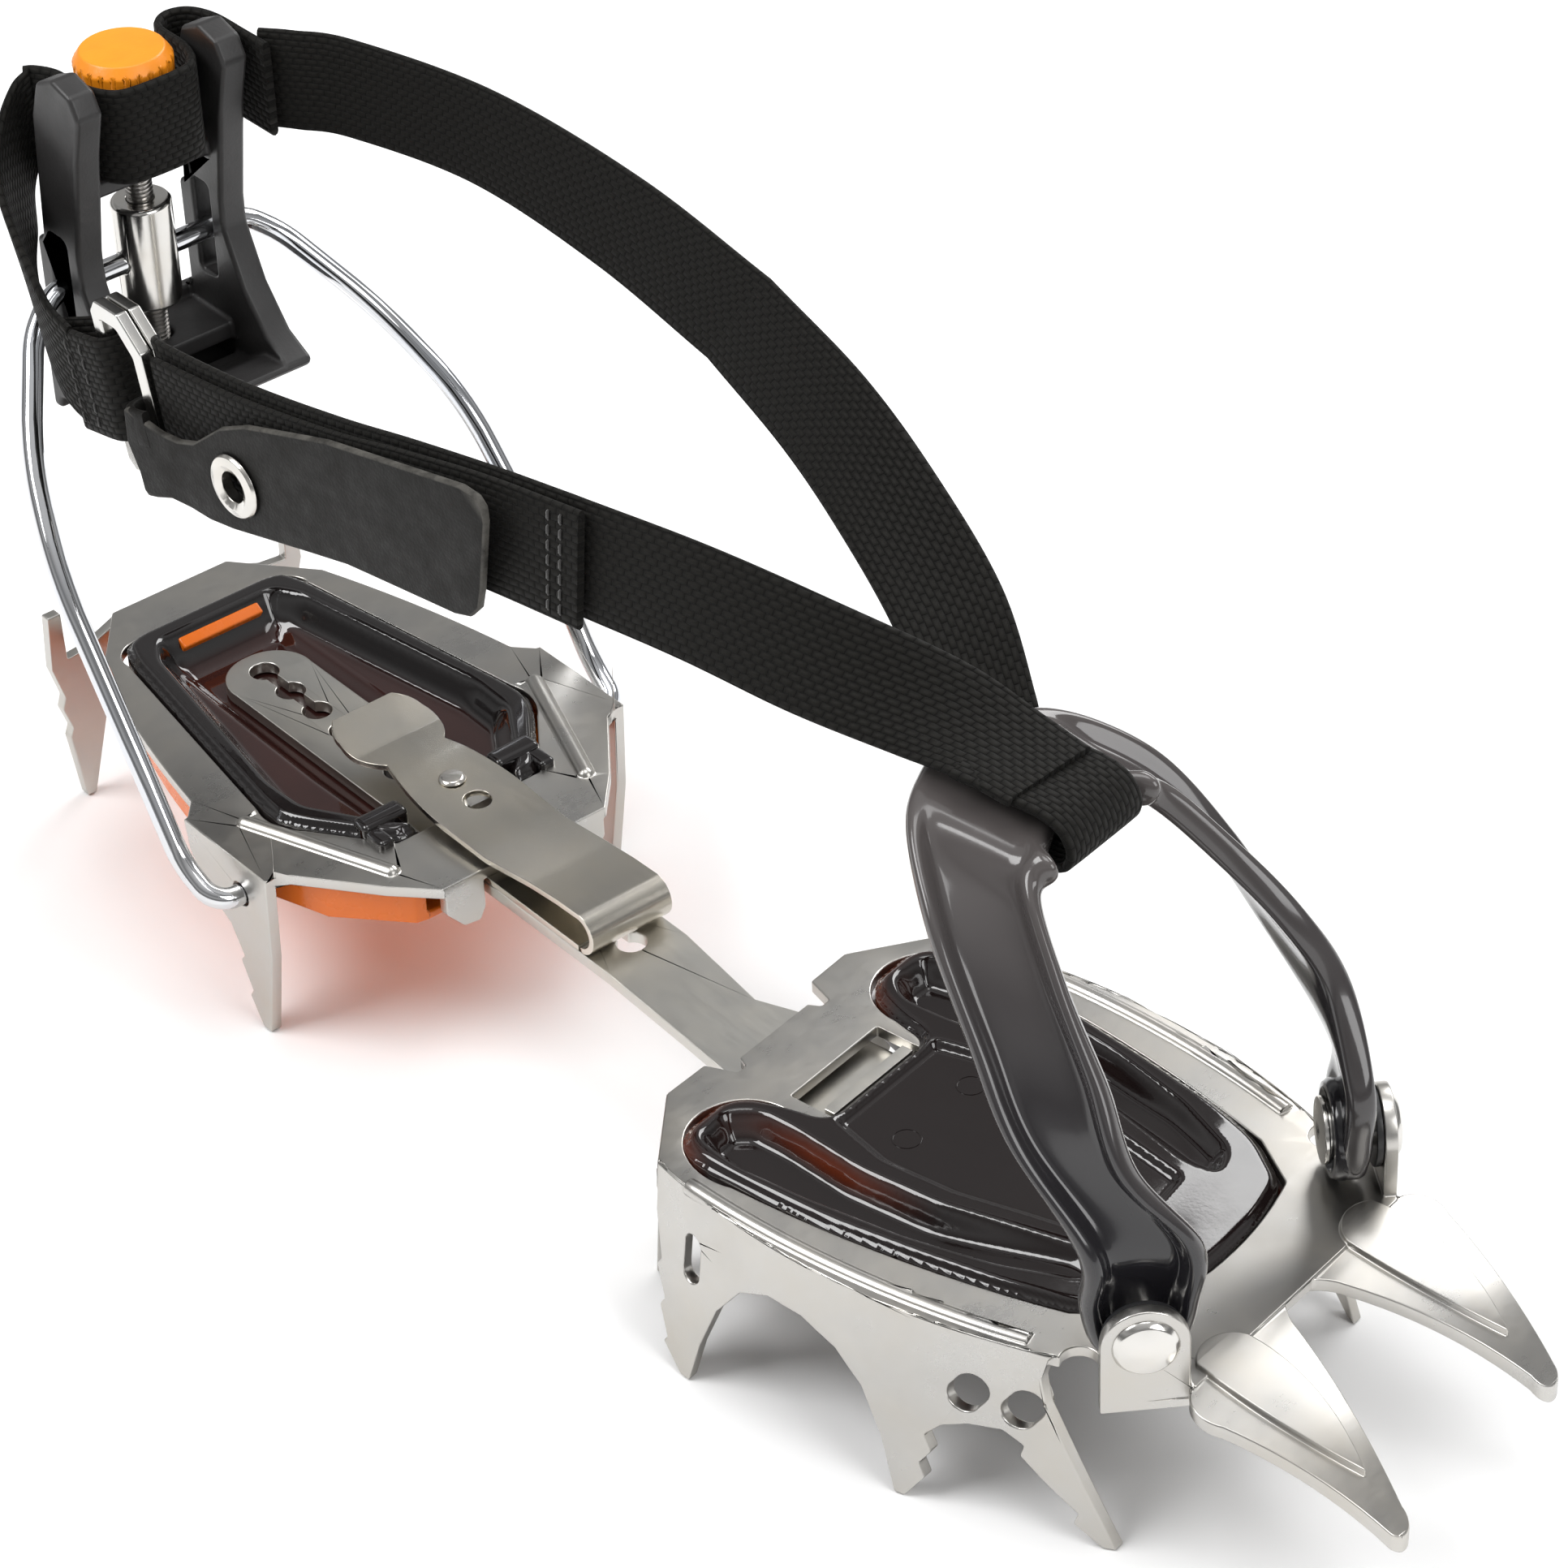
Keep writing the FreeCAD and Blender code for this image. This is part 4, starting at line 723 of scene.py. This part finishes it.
def toe_bail():
    near = bail_stations()
    mirrored = [(Vector((a.x, -a.y, a.z)), Vector((b.x, -b.y, b.z))) for a, b in near[1:]]
    edges = list(reversed(mirrored)) + near
    count = 181
    rears = curve_through([a for a, b in edges], count)
    fronts = curve_through([b for a, b in edges], count)
    verts, faces, thin = [], [], []
    for i in range(count):
        far = abs(i / (count - 1) - 0.5) * 2                    # 0 at the strap, 1 at the eyes
        a, b = rears[i], fronts[i]
        wide = (b - a).length
        way = ((rears[min(i + 1, count - 1)] + fronts[min(i + 1, count - 1)])
               - (rears[max(i - 1, 0)] + fronts[max(i - 1, 0)])).normalized()
        across = (b - a).normalized()
        out = way.cross(across).normalized()
        dish = min(max((far - 0.17) / 0.09, 0), 1) * (1 - min(max((far - 0.80) / 0.10, 0), 1))
        dish = dish * dish * (3 - 2 * dish)
        horn = math.exp(-((far - 0.165) / 0.028) ** 2)
        rim = 3.6 if wide > 14 else wide * 0.25
        floor = 2.0 - 2.6 * dish
        section = [(0.35, -1.5), (0.0, -0.4), (0.15, 1.1), (0.9, 2.1 + 0.4 * dish),
                   (rim * 0.62, 2.3 + 0.5 * dish),
                   (rim * 0.95, 2.1), (rim * 1.2, floor + 0.35 * dish), (rim * 1.5, floor)]
        loop = [(d, t) for d, t in section]
        loop += [(wide / 2, floor)]
        loop += [(wide - d, t + (1.6 * horn if d < rim else 0)) for d, t in reversed(section)]
        loop += [(wide - 1.2, -2.1), (wide - rim, -2.2), (wide * 0.5, -1.7 - 0.3 * (1 - dish)), (rim, -2.2),
                 (1.2, -2.1)]
        push = 3.4 * horn
        for d, t in loop:
            reach = push * max((d - wide * 0.6) / (wide * 0.4), 0)
            point = a + across * (d + reach) + out * t
            verts.append(front(*point))
            thin.append(1 - min(abs(d - 0) / 2.2, abs(wide - d) / 2.2, 1))
    n = len(verts) // count
    for i in range(count - 1):
        for k in range(n):
            p, q = i * n + k, i * n + (k + 1) % n
            faces.append((p, q, q + n, p + n))
    faces += [tuple(reversed(range(n))), tuple(range((count - 1) * n, count * n))]
    obj = new_object("toe_bail_moulding", verts, faces, smoke_bail)
    layer = obj.data.attributes.new("thin", "FLOAT", "POINT")
    layer.data.foreach_set("value", thin)
    bm = bmesh.new()
    bm.from_mesh(obj.data)
    bmesh.ops.recalc_face_normals(bm, faces=bm.faces)
    bm.to_mesh(obj.data)
    bm.free()
    sub = obj.modifiers.new("round", "SUBSURF")
    sub.levels = sub.render_levels = 1
    apply_modifiers(obj)
    smooth_shading(obj, 75)
    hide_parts("toe_bail")
    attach(obj, "toe_bail")
    return obj


toe_bail()


def turned(name, profile, place, axis, mat, body, segments=48):
    """Piece of revolution from (radius, height) points in millimetres, standing at place along axis."""
    turn = axis.normalized().to_track_quat("Z", "Y").to_matrix()
    verts, faces = [], []
    for i in range(segments):
        a = 2 * math.pi * i / segments
        for r, h in profile:
            verts.append(place + turn @ Vector((r * math.cos(a), r * math.sin(a), h)) * MM)
    n = len(profile)
    for i in range(segments):
        for k in range(n - 1):
            p, q = i * n + k, ((i + 1) % segments) * n + k
            faces.append((p, q, q + 1, p + 1))
    obj = new_object(name, verts, faces, mat)
    bm = bmesh.new()
    bm.from_mesh(obj.data)
    bmesh.ops.remove_doubles(bm, verts=bm.verts, dist=1e-7)
    bmesh.ops.recalc_face_normals(bm, faces=bm.faces)
    bm.to_mesh(obj.data)
    bm.free()
    smooth_shading(obj, 40)
    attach(obj, body)
    return obj


# turned profiles as (radius, height) in millimetres from the inner face of the bail's eye
BOSS_PROFILE = [(8.4, -0.4), (8.3, 0.9), (7.8, 1.6), (7.0, 1.7), (6.6, 1.2), (6.5, -0.4)]
EYELET_PROFILE = [(4.9, 0.2), (4.8, 1.2), (4.2, 1.7), (3.5, 1.5), (3.1, 0.9), (2.2, 0.7), (1.9, -0.8), (0.0, -0.9)]
EYELET_RISE = 0.7

front_guard()
heel_guard()
for side_name, sign in (("near", 1), ("far", -1)):
    half = math.sqrt(0.5)
    inward = Matrix.Rotation(TOE_OUT, 3, "Z") @ Vector((-half, half * sign, 0))
    face_mid = front(EAR[0], EAR[1] * sign, EAR[2]) + inward * (BAIL_EYE_IN + 1.6) * MM
    turned("bail_boss_" + side_name, BOSS_PROFILE, face_mid, inward, smoke_bail, "toe_bail")
    turned("bail_eyelet_" + side_name, EYELET_PROFILE, face_mid + inward * EYELET_RISE * MM, inward, small_steel,
           "frame")


# ------------------------------------------------------------------ straps
def w(*v):
    return v


FAR_SPLIT = rear(-62.2, 37.15, 102.05)
NEAR_SPLIT = rear(-37.2, -18.1, 92.8)
FAR_FIXED, NEAR_FIXED = rear(19, 18.5, 75), rear(34, 6, 82)
REAR_FAR, REAR_NEAR = rear(-172, 24, 108), rear(-138, -27, 79)
far_rear = [(rear(-177.0, 22.2, 107.4), w(0, 0, 19.6)), (rear(-171.0, 25.2, 108.0), w(0, 0.5, 19.6)),
            (rear(-160.7, 30.2, 108.4), w(1, 1, 19.6)), (rear(-131.7, 37.0, 108.0), w(4, 2.5, 19)),
            (rear(-97.2, 39.5, 104.8), w(7, 5, 18)), (FAR_SPLIT, w(8.5, 7, 16.4))]
webbing("strap_far_back", far_rear, blend=("frame", "heel_wire", FAR_SPLIT, REAR_FAR),
        swaps=("strap_far_rear",))
far_front = [(FAR_SPLIT, w(8.5, 7, 16.4)), (rear(-34.4, 32.0, 98.6), w(9, 10, 14)),
             (rear(-12.5, 27.0, 93.4), w(9, 13.5, 8.5)),
             (rear(6.0, 23.0, 85.0), w(7, 17, 3)), (rear(19.0, 18.5, 75.0), w(5, 18, -1)),
             (rear(25.5, 15.5, 70.9), w(2, 18.3, -0.5))]
webbing("strap_far_fore", far_front, blend=("frame", "toe_bail", FAR_SPLIT, FAR_FIXED),
        swaps=("strap_far_front",))
near_front = [(rear(45.5, 8.6, 80.6), w(-1.5, 18.6, 0.6)), (rear(36.4, 7.2, 81.9), w(0, 18.4, 2.5)),
              (rear(24.5, 3.5, 84.6), w(-1, 16, 9)),
              (rear(6.2, -5.0, 89.0), w(-1, 10.5, 15.6)), (rear(-14.0, -12.0, 92.2), w(-1, 7, 18)),
              (NEAR_SPLIT, w(-3, 4, 19.2))]
webbing("strap_near_fore", near_front, blend=("frame", "toe_bail", NEAR_SPLIT, NEAR_FIXED),
        swaps=("strap_near_front",))
near_rear = [(NEAR_SPLIT, w(-3, 4, 19.2)), (rear(-53.0, -21.0, 92.0), w(-3, 3, 19.2)),
             (rear(-71.0, -23.3, 89.8), w(-3, 1.5, 19.4)),
             (rear(-89.5, -25.0, 86.4), w(-3, 1, 19.4)), (rear(-115.0, -26.3, 81.9), w(-3, 1, 19.4)),
             (rear(-138.5, -26.6, 79.4), w(-3.6, 0, 19.2)), (rear(-143.2, -24.9, 78.6), w(-4, 0, 18.8))]
webbing("strap_near_back", near_rear, blend=("frame", "heel_wire", NEAR_SPLIT, REAR_NEAR),
        swaps=("strap_near_rear",))
tail = [(rear(-32.6, -19.7, 92.4), w(-3, 4, 19.4)), (rear(-53.0, -23.0, 91.2), w(-3, 3, 19.4)),
        (rear(-71.0, -25.3, 88.6), w(-3, 1.5, 19.4)),
        (rear(-89.5, -27.1, 84.8), w(-3, 1, 19.4)), (rear(-115.0, -28.4, 80.2), w(-3, 1, 19.4)),
        (rear(-138.4, -28.8, 77.6), w(-3.6, 0, 19))]
webbing("strap_free_end", tail, blend=("frame", "heel_wire", NEAR_SPLIT, REAR_NEAR), swaps=("strap_tail",),
        stitches=((0.035, 0.035, -0.44, 0.44), (0.06, 0.06, -0.44, 0.44)))


def wrap():
    """Turn of the strap round the middle of the bail, a little askew."""
    side = Matrix.Rotation(TOE_OUT, 3, "Z") @ Vector((0, -18.6, 0))
    path = [(22, 5, 71.2), (30, 3.5, 70.2), (40, 2, 69.0), (48, 1, 68.2), (52.6, 0.5, 69.6),
            (54.2, 0.2, 73.0), (52.8, -0.2, 76.8),
            (49, -0.8, 79.0), (42, -2, 80.2), (34, -3, 81.2)]
    return webbing("strap_wrap", [(front(x, y, z), tuple(side)) for x, y, z in path], body="toe_bail",
                   swaps=("bail_wrap",),
                   count=60)


wrap()
plan = [(-173.0, 20.9), (-180.0, 20.9), (-189.0, 20.7), (-194.3, 18.6), (-195.6, 14.6), (-192.4, 11.2),
        (-184.0, 10.8), (-178.6, 8.8),
        (-176.5, 5.0), (-176.5, -5.0), (-178.6, -8.8), (-184.0, -10.8), (-191.3, -11.2), (-195.4, -13.0),
        (-196.8, -14.6)]
post = [(x, y, 107.0 - 0.9 * i / (len(plan) - 1)) for i, (x, y) in enumerate(plan)]
webbing("strap_post_weave", [(rear(*p), w(0, 0, 18.6)) for p in post], body="heel_lever",
        swaps=("post_strap",), count=130)
bulge = [((-195.9, -13.6, 106.0), (0, -1, 18.6)), ((-196.9, -15.6, 103.6), (0.5, -3, 18.4)),
         ((-196.2, -18.6, 98.8), (1, -5, 18)),
         ((-192.7, -21.8, 93.4), (0, -6, 17.2)), ((-187.5, -25.2, 88.8), (0, -4.5, 17)),
         ((-178.0, -28.8, 82.4), (-2, -1.5, 17.6)),
         ((-169.0, -30.9, 76.6), (-3.5, 0, 18.4)), ((-161.0, -31.2, 74.6), (-4.5, 0, 18.6))]
webbing("strap_rear_loop", [(rear(*p), v) for p, v in bulge], body="heel_lever", swaps=("rear_strap",),
        count=110)

RING_MID, RING_TILT = Vector((-147.5, 0.0, 77.3)), math.radians(-14)
RING_UP = Vector((math.sin(RING_TILT), 0, math.cos(RING_TILT)))


def leaning(x, y, z):
    """Row point of a place given before the rings' backward lean."""
    turned_point = Matrix.Rotation(RING_TILT, 3, "Y") @ (Vector((x, 0, z)) - RING_MID) + RING_MID
    return rear(turned_point.x, y, turned_point.z)


turn = [(-164.0, -31.0), (-160.0, -31.2), (-154.0, -31.4), (-151.2, -30.9), (-149.8, -28.9), (-149.8, -25.8),
        (-151.2, -23.9),
        (-154.0, -23.4), (-160.0, -24.0), (-168.0, -28.4)]
webbing("strap_ring_turn", [(leaning(x, y, 77.3), tuple(RING_UP * 19.4)) for x, y in turn], body="heel_lever",
        swaps=("ring_loop",),
        count=60, stitches=((0.04, 0.04, -0.42, 0.42), (0.16, 0.16, -0.42, 0.42)))


# ------------------------------------------------------------------ pull tab
def pull_tab():
    """Flat leather tab with rounded corners, rubbed edges, an eyelet hole and a fold round the ring."""
    outline = [(-143.4, 70.6), (-141.0, 66.0), (-140.2, 62.6), (-139.0, 61.6), (-136.4, 62.4), (-132.3, 64.0),
               (-127.0, 64.4),
               (-121.8, 64.3), (-115.5, 65.2), (-84.5, 72.3), (-56.5, 75.9), (-52.4, 77.2), (-50.0, 79.8),
               (-48.9, 84.0),
               (-46.7, 97.6), (-46.9, 100.2), (-48.8, 102.0), (-52.2, 102.2), (-87.4, 95.0), (-109.4, 88.3),
               (-116.5, 84.9),
               (-120.6, 81.6), (-124.4, 78.6), (-129.0, 77.0), (-134.0, 76.6), (-143.4, 77.6)]
    ring = [Vector((x, z)) for x, z in outline]
    hole_mid = Vector((-113.1, 75.2))
    bm = bmesh.new()
    outer = [bm.verts.new((p.x, 0, p.y)) for p in ring]
    inner = [bm.verts.new((hole_mid.x + 4.1 * math.cos(2 * math.pi * i / 24), 0,
                           hole_mid.y + 4.1 * math.sin(2 * math.pi * i / 24))) for i in range(24)]
    edges = [bm.edges.new((loop[i], loop[(i + 1) % len(loop)])) for loop in (outer,
                                                                             inner) for i in range(len(loop))]
    bmesh.ops.triangle_fill(bm, use_beauty=True, edges=edges, use_dissolve=False)
    bmesh.ops.subdivide_edges(bm, edges=[e for e in bm.edges if e.calc_length() > 9], cuts=2)
    bmesh.ops.triangulate(bm, faces=bm.faces)
    start, slant = Vector((-140.0, -33.1, 0.0)), Matrix.Rotation(math.radians(4), 3, "Z")
    for v in bm.verts:
        v.co.y = start.y + 0.75 + 0.35 * math.sin((v.co.x + 140) / 24) * ease((v.co.x + 138) / 10)
    made = bmesh.ops.extrude_face_region(bm, geom=bm.faces[:])
    for v in [g for g in made["geom"] if isinstance(g, bmesh.types.BMVert)]:
        v.co.y -= 1.5
    bmesh.ops.recalc_face_normals(bm, faces=bm.faces)
    for v in bm.verts:
        v.co = rear(*(slant @ (v.co - start) + start))
    mesh = bpy.data.meshes.new("pull_tab_leather")
    bm.to_mesh(mesh)
    bm.free()
    obj = bpy.data.objects.new("pull_tab_leather", mesh)
    bpy.context.scene.collection.objects.link(obj)
    mesh.materials.append(tab_leather)
    bevel = obj.modifiers.new("edges", "BEVEL")
    bevel.width, bevel.segments = 0.45 * MM, 3
    bevel.limit_method, bevel.angle_limit = "ANGLE", math.radians(50)
    bevel.use_clamp_overlap = False
    apply_modifiers(obj)
    smooth_shading(obj, 50)
    mark(obj, lambda p: 0.0)
    layer = obj.data.attributes["thin"]
    for poly in obj.data.polygons:
        if abs(poly.normal.y) < 0.9:
            for index in poly.vertices:
                layer.data[index].value = 1.0
    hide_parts("pull_tab")
    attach(obj, "pull_tab")
    bend = [(-138.2, -32.9), (-140.6, -33.1), (-143.4, -32.7), (-145.2, -30.9), (-145.6, -27.4),
            (-145.3, -24.9), (-144.2, -23.4),
            (-141.6, -22.9)]
    fold = webbing("pull_tab_fold", [(leaning(x, y, 73.1), tuple(RING_UP * 6.6)) for x, y in bend],
                   body="pull_tab", count=40)
    fold.data.materials.clear()
    fold.data.materials.append(tab_leather)
    mark(fold, lambda p: 0.0)
    return obj


pull_tab()

# ------------------------------------------------------------------ floor, light, camera
FLOOR_SIZE, FLOOR_DROP = 6, 0.0002                 # metres
bpy.ops.mesh.primitive_plane_add(size=FLOOR_SIZE, location=(0, 0, -FLOOR_DROP))
floor = bpy.context.object
floor.name = "floor"
paper = Shader("floor_paper", (0.92, 0.92, 0.92), roughness=0.9)
paper.bump((paper.noise(60, 3, 0.6), 0.00002))
floor.data.materials.append(paper.mat)


def area_light(name, place, aim, size, watts, size_y=None):
    data = bpy.data.lights.new(name, "AREA")
    data.energy, data.size = watts, size
    if size_y:
        data.shape, data.size_y = "RECTANGLE", size_y
    lamp = bpy.data.objects.new(name, data)
    bpy.context.scene.collection.objects.link(lamp)
    lamp.location = place
    lamp.rotation_euler = (Vector(aim) - Vector(place)).to_track_quat("-Z", "Y").to_euler()
    return lamp


area_light("key", (-0.5, -0.9, 1.3), (0, 0, 0.05), 0.9, 16, 0.7)
area_light("fill", (1.3, 0.2, 0.9), (0, 0, 0.05), 0.8, 9)
area_light("back", (-0.3, 1.3, 1.1), (0, 0, 0.05), 1.2, 14, 0.6)
area_light("top", (0.1, 0.1, 1.7), (0, 0, 0), 0.8, 7)

world = bpy.data.worlds.new("studio")
bpy.context.scene.world = world
world.use_nodes = True
nodes, links = world.node_tree.nodes, world.node_tree.links
direction = nodes.new("ShaderNodeTexCoord").outputs["Generated"]
split = nodes.new("ShaderNodeSeparateXYZ")
links.new(direction, split.inputs[0])
ramp = nodes.new("ShaderNodeValToRGB")
for place, grey in ((0.0, 0.75), (0.50, 0.55), (0.58, 0.20), (0.68, 0.62), (0.80, 0.30), (1.0, 0.55)):
    if place in (0.0, 1.0):
        stop = ramp.color_ramp.elements[int(place)]
    else:
        stop = ramp.color_ramp.elements.new(place)
    stop.color = (grey, grey, grey, 1)
half_up = nodes.new("ShaderNodeMath")
half_up.operation = "MULTIPLY_ADD"
links.new(split.outputs["Z"], half_up.inputs[0])
half_up.inputs[1].default_value = half_up.inputs[2].default_value = 0.5
links.new(half_up.outputs[0], ramp.inputs["Fac"])
links.new(ramp.outputs["Color"], nodes["Background"].inputs["Color"])
nodes["Background"].inputs["Strength"].default_value = 0.75

CAMERA_PLACE = rear(506.6, -406.8, 534.9)
LENS, SENSOR = 116.4, 36                           # millimetres
CAMERA_TURN, CAMERA_RISE, CAMERA_ROLL = math.radians(51.69), math.radians(36.22), math.radians(-2.36)
back = Vector((math.sin(CAMERA_TURN) * math.cos(CAMERA_RISE), -math.cos(CAMERA_TURN) * math.cos(CAMERA_RISE),
               math.sin(CAMERA_RISE)))
right = (-back).cross(UP).normalized()
above = back.cross(right)
right, above = (right * math.cos(CAMERA_ROLL) + above * math.sin(CAMERA_ROLL),
                above * math.cos(CAMERA_ROLL) - right * math.sin(CAMERA_ROLL))
camera_data = bpy.data.cameras.new("camera")
camera_data.lens, camera_data.sensor_width = LENS, SENSOR
camera_data.clip_start = 0.05
camera = bpy.data.objects.new("camera", camera_data)
bpy.context.scene.collection.objects.link(camera)
camera.matrix_world = Matrix.Translation(CAMERA_PLACE) @ Matrix((right, above, back)).transposed().to_4x4()
bpy.context.scene.camera = camera
bpy.context.scene.view_settings.view_transform = "Standard"
bpy.context.scene.view_settings.exposure = 0.0
